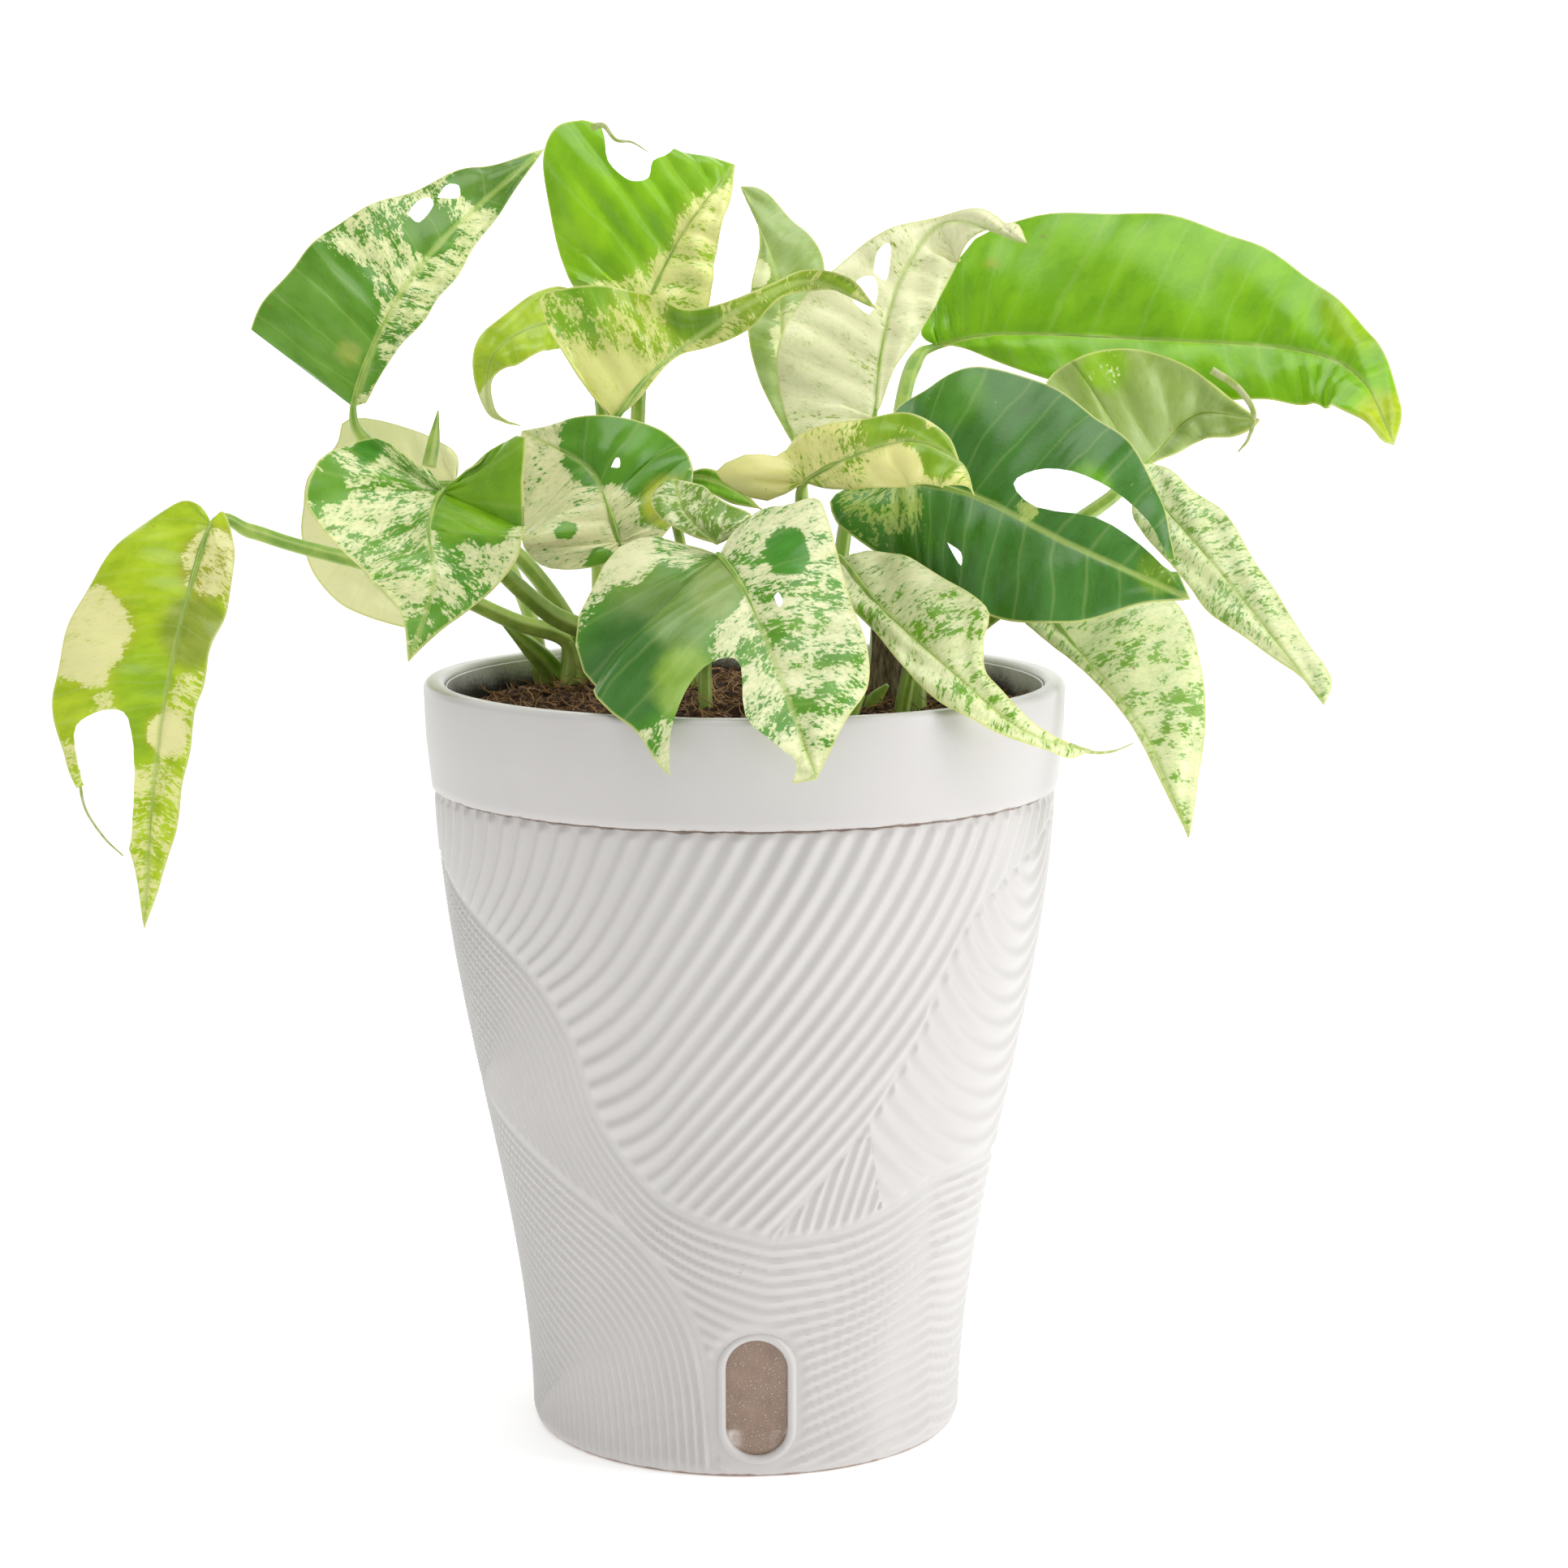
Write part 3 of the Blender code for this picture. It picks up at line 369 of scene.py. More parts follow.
# Each blade is three curves. "mid" is its midrib from stalk to tip as (x, y, z). "left" and "right" are its
# margins from stalk to tip as (x, z), with an optional extra depth. "lean" is how far each half stands back
# from its midrib, "cup" how much it swells, and "cuts" are the outlines of its splits and holes as (x, z).
# "cover" is the share of the blade that is green, and each patch changes it inside (x, z, radius) to
# (share, green tone).
leaves = {
    "far_left": {
        "mid": [(-125, 5, 213), (-131, -13, 186), (-134, -27, 159), (-136, -36, 125)],
        "left": [(-128, 217), (-134, 218), (-145, 210), (-154, 198), (-159, 182), (-159, 170), (-156, 162),
                 (-153, 156), (-148, 148), (-140, 143)],
        "right": [(-122, 216), (-119, 207), (-119, 198), (-123, 184), (-126, 167), (-128, 152),
                  (-131, 139)],
        "lean": (0.25, -0.3), "cup": 0.12,
        "cuts": [
            [(-151, 156), (-154, 167), (-151, 171), (-145, 173), (-141, 171), (-139, 161), (-139, 150),
             (-141, 141), (-151, 143), (-162, 150)],
        ],
        "stalk": [(-43, 33, 182), (-57, 29, 188), (-79, 21, 199), (-106, 16, 207), (-117, 12, 211)],
        "radius": (2.2, 1.5),
        "green": "#c2da20", "pale": "#f2efaa", "cover": 0.5,
        "patches": [
            (-142, 207, 22, 0.98, "#c4de20"), (-152, 189, 11, 0.22, "#c2c92b"),
            (-138, 180, 7, 1, "#afd123"), (-138, 168, 7, 1, "#a9cd23"), (-157, 172, 7, 0.75, "#c5db25"),
            (-127, 190, 8, 1, "#a8b942"), (-124, 205, 8, 0.42, "#bdbd32"),
            (-132, 168, 5, 0.15, "#c2c92b"),
        ],
    },
    "upper_left": {
        "mid": [(-95, 37, 239), (-87, 40, 260), (-74, 53, 279), (-51, 79, 301)],
        "left": [(-104, 244), (-114, 248), (-122, 253), (-121, 257), (-115, 267), (-101, 282), (-89, 288),
                 (-79, 292), (-69, 296), (-60, 298)],
        "right": [(-92, 240), (-88, 248), (-80, 258), (-72, 269), (-65, 280), (-57, 292)],
        "lean": (0.15, 0.9), "cup": 0.1,
        "cuts": [
            [(-83, 285), (-81, 288), (-78, 289), (-77, 287), (-80, 283)],
            [(-76, 289), (-74, 292), (-71, 292), (-71, 289)],
        ],
        "stalk": [(-42, 43, 182), (-55, 39, 202), (-72, 40, 213), (-90, 39, 228)], "radius": (2.2, 1.6),
        "green": "#5f9d25", "pale": "#f1f2b6", "cover": 0.46,
        "patches": [
            (-107, 260, 17, 1, "#70a634"), (-98, 250, 9, 1, "#76aa3a"), (-77, 281, 6, 0.8, "#6d9d38"),
            (-63, 296, 9, 0.85, "#6c9835"), (-96, 252, 3, 1, "#a8be5a"),
        ],
    },
    "pale_back": {
        "mid": [(-72, 53, 219), (-90, 56, 215), (-96, 52, 201), (-79, 40, 184)],
        "left": [(-72, 226), (-80, 231), (-91, 234), (-100, 234), (-102, 228), (-109, 221), (-110, 213),
                 (-110, 205), (-106, 196), (-96, 188)],
        "right": [(-69, 211), (-70, 199), (-74, 190)],
        "lean": (0, 0), "cup": 0.05,
        "stalk": [(-52, 47, 182), (-59, 57, 199), (-63, 59, 211)], "radius": (1.8, 1.3),
        "green": "#fbf2a0", "pale": "#fbf6c4", "cover": 0.02,
    },
    "left_heart": {
        "mid": [(-69, -13, 222), (-71, -26, 215), (-69, -38, 203), (-75, -37, 186)],
        "left": [(-72, 227), (-76, 229), (-83, 234), (-88, 234), (-93, 232), (-97, 229), (-99, 222),
                 (-95, 216), (-87, 208), (-80, 202), (-76, 196)],
        "right": [(-66, 225), (-61, 229), (-55, 233), (-50, 236, -8), (-50, 227, -8), (-49, 216, -6),
                  (-50, 209), (-55, 203), (-63, 197), (-70, 191)],
        "lean": (-0.12, -0.3), "cup": -0.12,
        "stalk": [(-34, 29, 182), (-47, 18, 191), (-58, 5, 203), (-65, -7, 213)], "radius": (2.6, 1.6),
        "green": "#6fab33", "pale": "#f2f3ba", "cover": 0.46,
        "patches": [
            (-86, 232, 3, 0.95, "#4d9823"), (-95, 225, 5, 0.7, "#71a92a"),
            (-55, 229, 13, 0.93, "#86b81e"), (-61, 219, 9, 0.93, "#86b81e"),
            (-60, 206, 8, 0.45, "#5fa327"), (-71, 192, 6, 0.55, "#71ae32"),
        ],
    },
    "centre_left": {
        "mid": [(-29, -6, 210), (-32, -4, 219), (-37, 4, 227), (-53, 21, 234)],
        "left": [(-31, 206), (-37, 204), (-46, 205), (-51, 210), (-53, 219), (-54, 228)],
        "right": [(-24, 206), (-19, 211), (-15, 217), (-12, 226), (-16, 232, 4), (-21, 236), (-29, 238),
                  (-41, 237)],
        "lean": (-0.1, 0.12), "cup": 0.12,
        "cuts": [
            [(-31, 227), (-30, 229), (-29, 229), (-29, 227)],
        ],
        "stalk": [(-22, 14, 175), (-22, 8, 184), (-25, 2, 197)], "radius": (1.9, 1.4),
        "green": "#5a9a20", "pale": "#e9e7b0", "cover": 0.32,
        "patches": [
            (-22, 232, 11, 1, "#5f9c1c"), (-34, 232, 9, 1, "#5f9c1c"), (-33, 206, 3, 1, "#71a926"),
            (-41, 213, 2, 0.9, "#71a926"), (-18, 219, 6, 0.9, "#c9d24c"),
        ],
    },
    "top_green": {
        "mid": [(-25, 53, 261), (-18, 58, 276), (-10, 61, 288), (-3, 71, 297)],
        "left": [(-35, 263), (-42, 267), (-45, 273), (-48, 285), (-50, 298), (-47, 306), (-41, 308),
                 (-37, 307), (-26, 304), (-14, 300)],
        "right": [(-18, 260), (-11, 260), (-8, 268), (-8, 274), (-6, 282), (-4, 289)],
        "lean": (-0.15, -0.25), "cup": 0.12, "quilt": 1.2,
        "cuts": [
            [(-37, 309), (-35, 304), (-34, 298), (-30, 294), (-27, 293), (-24, 294), (-23, 298), (-19, 300),
             (-17, 305), (-26, 316)],
        ],
        "stalk": [(-26, 46, 175), (-26, 53, 199), (-27, 55, 228), (-26, 53, 249)], "radius": (2.2, 1.5),
        "green": "#a4cc2c", "pale": "#f4f2a4", "cover": 0.4,
        "patches": [
            (-36, 292, 22, 1, "#8fc80e"), (-44, 280, 12, 1, "#9ad012"), (-12, 299, 9, 0.8, "#90c420"),
            (-11, 281, 7, 0.4, "#a8c92a"),
        ],
    },
    "curled": {
        "mid": [(-39, 55, 258), (-51, 47, 258), (-61, 40, 251), (-62, 39, 238), (-55, 43, 234)],
        "left": [(-38, 263), (-44, 267), (-51, 266), (-60, 260), (-65, 255), (-66, 247), (-63, 238),
                 (-59, 235)],
        "right": [(-40, 253), (-45, 253), (-54, 250), (-61, 246), (-61, 239), (-59, 236)],
        "lean": (0.1, -0.4), "cup": 0.1,
        "stalk": [(-36, 49, 182), (-37, 58, 204), (-36, 63, 233), (-38, 59, 251)], "radius": (1.9, 1.3),
        "green": "#bbd437", "pale": "#f0f3bd", "cover": 1.0,
        "patches": [
            (-58, 240, 7, 0.15, "#bbd437"),
        ],
    },
    "centre": {
        "mid": [(-31, 16, 237), (-23, 20, 247), (-13, 26, 255), (1, 26, 264), (15, 30, 269), (31, 24, 263)],
        "left": [(-37, 244), (-41, 250), (-46, 258), (-48, 266), (-41, 268), (-32, 268), (-22, 266),
                 (-16, 263), (-10, 263), (-3, 265), (7, 269), (15, 272), (25, 270)],
        "right": [(-26, 241), (-17, 251), (-8, 254), (1, 258), (8, 265), (16, 267), (27, 267)],
        "lean": (-0.35, 0.5), "cup": -0.1,
        "stalk": [(-30, 35, 182), (-34, 36, 204), (-37, 34, 226), (-35, 28, 235)], "radius": (2.1, 1.5),
        "green": "#93b62a", "pale": "#dfe08c", "cover": 0.46,
        "patches": [
            (-39, 264, 8, 0.6, "#85b625"), (-23, 262, 10, 0.55, "#a8c532"),
            (-12, 261, 6, 0.85, "#80a925"), (-32, 245, 8, 0.22, "#b4c937"), (10, 267, 14, 0.6, "#9dba34"),
        ],
    },
    "sage_back": {
        "mid": [(13, 80, 225), (9, 91, 249), (7, 99, 271), (-2, 113, 292)],
        "left": [(8, 233), (3, 243), (0, 255), (1, 267), (3, 278), (1, 287)],
        "right": [(16, 233), (18, 247), (19, 261), (19, 274), (10, 285), (3, 291)],
        "lean": (0.1, 0.2), "cup": 0.08,
        "stalk": [(16, 40, 175), (15, 55, 194), (14, 72, 213)], "radius": (2.0, 1.4),
        "green": "#b2c884", "pale": "#f0f1c0", "cover": 0.8,
        "patches": [
            (12, 275, 13, 1, "#b2c884"), (2, 270, 4, 0.05, "#b7ca5b"), (13, 255, 8, 0.35, "#b2c884"),
        ],
    },
    "pale_holes": {
        "mid": [(31, 40, 236), (33, 45, 253), (38, 51, 270), (49, 55, 283), (68, 44, 278)],
        "left": [(21, 231), (12, 232), (8, 244), (8, 254), (14, 265), (22, 272), (29, 278), (37, 282),
                 (46, 284), (58, 286)],
        "right": [(33, 240), (36, 248), (42, 256), (49, 268), (55, 279), (65, 283)],
        "lean": (-0.1, 0.3), "cup": 0.1,
        "cuts": [
            [(31, 271), (32, 276), (35, 278), (35, 273), (34, 269)],
            [(26, 264), (27, 269), (31, 270), (32, 266), (30, 261)],
        ],
        "stalk": [(22, 20, 175), (22, 27, 194), (25, 32, 216), (29, 36, 229)], "radius": (2.0, 1.5),
        "green": "#a3b94a", "pale": "#f2f2c5", "cover": 0.3,
    },
    "big_green": {
        "mid": [(48, 79, 252), (64, 72, 255), (102, 59, 254), (134, 49, 252), (148, 38, 246),
                (154, 19, 231)],
        "left": [(44, 256), (52, 270), (58, 279), (71, 284), (88, 285), (103, 285), (123, 279), (135, 272),
                 (145, 264), (154, 253), (157, 239)],
        "right": [(53, 252), (62, 249), (75, 244), (92, 242), (109, 241), (127, 240), (141, 239),
                  (147, 237), (151, 232)],
        "lean": (0.15, -0.2), "cup": 0.1, "quilt": 1.2,
        "stalk": [(32, 32, 175), (34, 48, 204), (38, 65, 234), (42, 76, 248)], "radius": (2.2, 1.7),
        "green": "#8ecb06", "pale": "#b3c034", "cover": 1.0,
        "patches": [
            (154, 234, 9, 0.75, "#c8dc10"), (61, 274, 1.2, 1, "#e9af35"), (150, 262, 10, 1, "#a8d310"),
        ],
    },
    "sage_curl": {
        "mid": [(91, 26, 220), (99, 34, 228), (109, 38, 237), (124, 34, 236)],
        "left": [(82, 228, -4), (76, 237, -8), (72, 245, -10), (80, 251, -12), (89, 253, -12),
                 (98, 252, -10), (108, 248, -6), (117, 241, -2)],
        "right": [(97, 225), (104, 228), (110, 231), (117, 232), (122, 234)],
        "lean": (0, 0), "cup": 0.1,
        "stalk": [(44, 22, 175), (52, 27, 189), (69, 28, 205), (84, 27, 215)], "radius": (1.9, 1.4),
        "green": "#a9bf6e", "pale": "#ebefbc", "cover": 0.95,
        "patches": [
            (86, 249, 6, 0.65, "#9bc92a"), (103, 239, 14, 1, "#a8be72"),
        ],
    },
    "dark_split": {
        "mid": [(35, -15, 225), (52, -23, 222), (73, -34, 212), (100, -37, 200)],
        "left": [(32, 230), (34, 239), (41, 245), (53, 250), (66, 248), (78, 241), (88, 233), (94, 222),
                 (96, 212), (98, 205)],
        "right": [(26, 224), (20, 221), (21, 216), (24, 213), (35, 206), (44, 201), (57, 196), (73, 195),
                  (89, 199)],
        "lean": (0.12, 0.12), "cup": 0.1,
        "cuts": [
            [(95, 209), (91, 217), (83, 224), (74, 228), (66, 228), (61, 225), (66, 220), (79, 218),
             (89, 212), (96, 206), (102, 207)],
            [(46, 212), (47, 210), (49, 207), (49, 210)],
        ],
        "stalk": [(40, -14, 175), (40, -7, 189), (38, -6, 206), (36, -12, 217)], "radius": (2.1, 1.5),
        "green": "#4d8636", "pale": "#b5c76b", "cover": 0.84,
        "patches": [
            (48, 245, 8, 0.86, "#5a9828"), (64, 219, 2.5, 0.3, "#5a9828"), (93, 206, 5, 0.6, "#719d28"),
            (78, 225, 5, 1, "#6fab20"), (40, 211, 4, 0.75, "#4d8a25"), (31, 221, 11, 0.5, "#4f8c2c"),
        ],
    },
    "yellow": {
        "mid": [(14, -21, 225), (24, -29, 231), (37, -35, 235), (48, -43, 231), (51, -48, 224)],
        "left": [(5, 221, 2), (-2, 223, 4), (-6, 227, 4), (1, 231), (8, 231), (12, 235), (19, 238),
                 (28, 240), (37, 241), (45, 237), (48, 231)],
        "right": [(20, 224), (32, 225), (42, 226), (49, 226)],
        "lean": (0.2, -0.1), "cup": 0.12,
        "stalk": [(8, -2, 175), (10, -1, 189), (12, -7, 208), (13, -16, 218)], "radius": (1.8, 1.3),
        "green": "#9dc028", "pale": "#f5f19d", "cover": 0.42,
        "patches": [
            (34, 238, 7, 0.62, "#9bc22a"), (43, 233, 5, 0.75, "#96be26"), (1, 226, 9, 0.02, "#d3d44c"),
            (34, 229, 6, 0.12, "#b2ca3a"),
        ],
    },
    "front_split": {
        "mid": [(-5, -42, 210), (1, -56, 203), (8, -74, 188), (16, -93, 168)],
        "left": [(-8, 211), (-16, 213), (-22, 214), (-29, 211), (-33, 203), (-37, 194), (-35, 185),
                 (-29, 180), (-22, 175), (-15, 168), (-1, 166), (10, 167)],
        "right": [(-2, 214), (3, 219), (8, 221), (16, 223), (19, 218), (21, 211), (24, 201), (27, 193),
                  (27, 186), (23, 180), (19, 173)],
        "lean": (0.1, 0.15), "cup": 0.12,
        "cuts": [
            [(-15, 168), (-15, 176), (-12, 184), (-8, 189), (-3, 191), (0, 189), (1, 180), (7, 175),
             (12, 170), (5, 161), (-10, 159)],
            [(7, 203), (8, 204), (9, 202), (8, 201)],
        ],
        "stalk": [(-9, -15, 175), (-9, -14, 184), (-8, -24, 197), (-6, -36, 206)], "radius": (1.6, 1.3),
        "green": "#5b9f26", "pale": "#f3f4c1", "cover": 0.41,
        "patches": [
            (-19, 196, 12, 1, "#8cae66"), (-26, 187, 11, 1, "#4b8436"), (-6, 204, 6, 1, "#a3bc74"),
            (-12, 186, 7, 0.95, "#a8ca63"), (-26, 210, 7, 0.3, "#83ae41"),
            (10, 212, 4.5, 0.97, "#4d9d20"), (13, 193, 13, 0.5, "#6ca92e"),
        ],
    },
    "front_back_lobe": {
        "mid": [(-6, -33, 212), (-13, -24, 218), (-16, -13, 225)],
        "left": [(-13, 214), (-19, 217), (-21, 221), (-19, 224)],
        "right": [(-2, 214), (2, 218), (-4, 221), (-11, 224)],
        "lean": (0, 0), "cup": 0.1,
        "green": "#83ab3d", "pale": "#e6ebb6", "cover": 0.55,
    },
    "green_tip": {
        "mid": [(-19, 14, 223), (-11, 8, 224), (-3, -1, 222), (4, -10, 218)],
        "left": [(-15, 224), (-9, 226), (-3, 224)],
        "right": [(-15, 221), (-9, 221), (-3, 219)],
        "lean": (0, 0), "cup": 0.1,
        "stalk": [(-12, 16, 175), (-13, 21, 194), (-17, 18, 215)], "radius": (1.5, 1.0),
        "green": "#83be2a", "pale": "#eef1b6", "cover": 0.85,
    },
    "tendril": {
        "mid": [(22, -25, 208), (31, -38, 198), (46, -57, 186), (61, -62, 174), (77, -51, 168)],
        "left": [(21, 204), (23, 199), (29, 194), (36, 186), (44, 180), (53, 175), (65, 170), (72, 167)],
        "right": [(30, 210), (43, 206), (54, 199), (53, 193), (53, 187), (56, 183), (63, 176), (70, 171)],
        "lean": (-0.3, 0.1), "cup": 0.1,
        "stalk": [(24, -8, 175), (23, -8, 187), (22, -17, 202)], "radius": (1.8, 1.3),
        "green": "#7eb22b", "pale": "#f0f3bd", "cover": 0.42,
        "patches": [
            (36, 203, 8, 0.4, "#71ab27"),
        ],
    },
    "low_right": {
        "mid": [(66, -14, 198), (76, -20, 187), (90, -32, 170), (100, -43, 147)],
        "left": [(62, 197), (65, 192), (74, 185), (82, 178), (87, 172), (91, 165), (96, 155)],
        "right": [(77, 206), (90, 205), (100, 196), (104, 185), (105, 175), (103, 161)],
        "lean": (0.12, 0.2), "cup": 0.1,
        "stalk": [(46, -4, 175), (50, -3, 185), (59, -9, 194)], "radius": (1.8, 1.3),
        "green": "#94c05c", "pale": "#f0f4bd", "cover": 0.42,
    },
    "far_right": {
        "mid": [(93, 18, 223), (102, 9, 213), (117, -5, 195), (133, -20, 174)],
        "left": [(94, 226), (99, 226), (104, 222), (113, 215), (121, 202), (126, 194), (131, 186),
                 (135, 179)],
        "right": [(92, 214), (99, 205), (104, 199), (109, 193), (122, 184), (128, 180)],
        "lean": (0.15, 0.15), "cup": 0.1,
        "stalk": [(46, 8, 175), (54, 12, 187), (71, 15, 207), (86, 17, 218)], "radius": (1.9, 1.4),
        "green": "#92bd68", "pale": "#f1f4c0", "cover": 0.41,
    },
}


def halfGrid(leaf, side):
    # Points over one half of a blade, row by row from the midrib out, with their places in its pattern.
    # The lobe behind the stalk fans out from the midrib's foot.
    steps = blades["fineSteps"]
    mid = smoothCurve(leaf["mid"], steps)
    flat = mid[:, [0, 2]]
    length = np.linalg.norm(np.diff(flat, axis=0), axis=1).sum()
    given = [(*point[:2], point[2] if len(point) > 2 else 0) for point in leaf[side]]
    curve = smoothCurve([(*flat[0], 0), *given, (*flat[-1], 0)], steps)
    distances = np.linalg.norm(curve[:, None, :2] - flat[None], axis=2)
    nearest = distances.argmin(axis=1)
    away = distances.min(axis=1)
    depth = leaf["lean"][side == "right"] * away + blades["tilt"] * (curve[:, 1] - mid[nearest, 2])
    margin = np.column_stack([curve[:, 0], mid[nearest, 1] + depth + curve[:, 2], curve[:, 1]])
    shares = np.maximum.accumulate(np.clip(nearest / steps - blades["veinSweep"] * away / length, 0, 1))
    shares[0], shares[-1] = 0, 1
    lobe = int(np.flatnonzero(shares == 0)[-1])
    lobe = lobe if lobe >= blades["shortestLobe"] else 0
    track = np.arange(steps + 1)
    fan = np.arange(blades["fanRows"] if lobe else 0) / blades["fanRows"]
    rowShares = np.concatenate([0 * fan, np.linspace(0, 1, blades["rows"] + 1)])
    body = np.interp(rowShares[len(fan):], shares[lobe:] + 1e-6 * track[lobe:], track[lobe:])
    places = np.concatenate([fan * lobe, body])
    root = np.column_stack([np.interp(rowShares * steps, track, mid[:, k]) for k in range(3)])
    edge = np.column_stack([np.interp(places, track, margin[:, k]) for k in range(3)])
    edge[-1] = root[-1]
    width = edge - root
    reach = np.linalg.norm(width, axis=1)
    outward = np.cross(width, np.gradient(edge, axis=0))
    outward /= np.linalg.norm(outward, axis=1, keepdims=True) + 1e-9
    outward[outward[:, 1] > 0] *= -1
    lobeReach = reach[0:len(fan) + 1].max()
    along = np.concatenate([(fan - 1) * lobeReach, rowShares[len(fan):] * length])
    across = (np.arange(blades["columns"] + 1) / blades["columns"]) ** blades["crowding"]
    wide = np.clip(reach / blades["fullWidth"], 0, 1)
    points, places = [], []
    for u in across:
        quilt = np.abs(np.sin(math.pi * along / veinSpacing)) * 2 * math.sqrt(u * (1 - u))
        swing = 2 * math.pi * along / blades["rippleLength"] + leaf["cup"] * 40 + (side == "left")
        wave = u**2.5 * np.sin(swing)
        turn = along / blades["buckleLength"] + 5 * u + leaf["cup"] * 60 + (side == "left")
        buckle = math.sin(math.pi * u) * np.sin(turn)
        lift = wide * (leaf.get("quilt", blades["quilt"]) * quilt + blades["ripple"] * wave)
        lift += wide * blades["buckle"] * buckle
        swell = 2 * u * (1 - u) * leaf["cup"] * reach
        points.append(root + u * width + (swell + lift)[:, None] * outward)
        sign = 1 if side == "right" else -1
        places.append(np.column_stack([sign * u * reach, along, (1 - u) * reach]))
    return np.array(points), np.array(places)


def loopValues(mesh, layerName):
    # The largest value of a UV layer at each vertex. A cutter's own faces have none, so theirs is 0.
    owners = np.empty(len(mesh.loops), int)
    mesh.loops.foreach_get("vertex_index", owners)
    values = np.empty(len(mesh.loops) * 2)
    mesh.uv_layers[layerName].data.foreach_get("uv", values)
    result = np.zeros((len(mesh.vertices), 2))
    np.maximum.at(result, owners, values.reshape(-1, 2))
    return result


def addValues(mesh, name, kind, values):
    attribute = mesh.attributes.new(name, kind, "POINT")
    field = {"FLOAT": "value", "FLOAT_VECTOR": "vector", "FLOAT_COLOR": "color"}[kind]
    attribute.data.foreach_set(field, np.asarray(values, np.float32).ravel())


def bladeMesh(name, leaf, seed):
    # A blade: both halves lofted from the midrib, thickened, with its splits and holes cut out.
    points, faces, places = [], [], []
    for side in ("left", "right"):
        grid, put = halfGrid(leaf, side)
        made = gridFaces(grid.shape[0], grid.shape[1], sum(len(p) for p in points))
        faces += made if side == "right" else [face[::-1] for face in made]
        points.append(grid.reshape(-1, 3))
        places.append(put.reshape(-1, 3))
    points, places = np.vstack(points), np.vstack(places)
    mesh = bpy.data.meshes.new(name)
    mesh.from_pydata([tuple(p) for p in points * mm], [], faces)
    owners = np.empty(len(mesh.loops), int)
    mesh.loops.foreach_get("vertex_index", owners)
    span = blades["patternSpan"]
    layers = {
        "leafPattern": np.column_stack([0.5 + places[:, 0] / span, 0.25 + places[:, 1] / (1.5 * span)]),
        "leafEdge": np.column_stack([places[:, 2] / blades["edgeSpan"], 0.5 + 0 * places[:, 2]]),
    }
    for layerName, values in layers.items():
        mesh.uv_layers.new(name=layerName).data.foreach_set("uv", values[owners].ravel())
    bm = bmesh.new()
    bm.from_mesh(mesh)
    bmesh.ops.remove_doubles(bm, verts=bm.verts, dist=0.02 * mm)
    bm.to_mesh(mesh)
    bm.free()
    thing = addObject(name, mesh)
    skin = thing.modifiers.new("thickness", "SOLIDIFY")
    skin.thickness = blades["thickness"] * mm
    skin.offset = 0
    mesh = applied(thing)
    cuts = leaf.get("cuts", [])
    if cuts:
        depths = points[:, 1]
        cutters = [cutterMesh(outline, depths.min(), depths.max()) for outline in cuts]
        mesh = cutWith(mesh, cutters)
    bm = bmesh.new()
    bm.from_mesh(mesh)
    bmesh.ops.recalc_face_normals(bm, faces=bm.faces)
    bm.to_mesh(mesh)
    bm.free()
    paintBlade(mesh, leaf, seed)
    return mesh


def cutterMesh(outline, front, back):
    # A prism through the blade, from in front of it to behind it.
    ring = smoothCurve([*outline, outline[0]], 3 * len(outline))[:-1]
    reach = blades["cutReach"]
    points = [(x, depth, z) for depth in (front - reach, back + reach) for x, z in ring]
    return meshFrom("cutter", points, prismFaces(len(ring)))


def paintBlade(mesh, leaf, seed):
    # Stores where each point lies in the blade's pattern, and how green it is there.
    put = loopValues(mesh, "leafPattern")
    side = (put[:, 0] - 0.5) * blades["patternSpan"]
    along = (put[:, 1] - 0.25) * 1.5 * blades["patternSpan"]
    edge = loopValues(mesh, "leafEdge")[:, 0] * blades["edgeSpan"]
    places = np.empty(len(mesh.vertices) * 3)
    mesh.vertices.foreach_get("co", places)
    places = places.reshape(-1, 3) / mm
    cover = np.full(len(places), float(leaf["cover"]))
    green = np.tile(hexToLinear(leaf["green"]), (len(places), 1))
    for x, z, radius, share, tone in leaf.get("patches", []):
        away = np.hypot(places[:, 0] - x, places[:, 2] - z) / radius
        weight = 1 - smoothStep(*blades["patchFade"], away)
        cover += (share - cover) * weight
        green += (np.array(hexToLinear(tone)) - green) * weight[:, None]
    shift = np.full(len(side), seed * blades["patternShift"])
    addValues(mesh, "pattern", "FLOAT_VECTOR", np.column_stack([side, along, shift]))
    addValues(mesh, "cover", "FLOAT", cover)
    addValues(mesh, "edge", "FLOAT", edge)
    addValues(mesh, "greenTone", "FLOAT_COLOR", green)
    addValues(mesh, "paleTone", "FLOAT_COLOR", np.tile(hexToLinear(leaf["pale"]), (len(places), 1)))
    mesh.uv_layers.remove(mesh.uv_layers["leafEdge"])


def makeBlades(material):
    for seed, (name, leaf) in enumerate(leaves.items()):
        mesh = bladeMesh("leaf_" + name, leaf, seed)
        finishPiece("leaf_" + name, mesh, material, "planter", ["blade_" + name])
    print("blades made:", len(leaves))


stalks = {"sides": 20, "ribs": 5, "ribDepth": 0.09, "stepsEach": 9, "footHeight": 167.5, "flare": 1.25,
          "knuckle": 0.16, "midribStart": 0.8, "midribEnd": 0.14, "behind": 0.3}


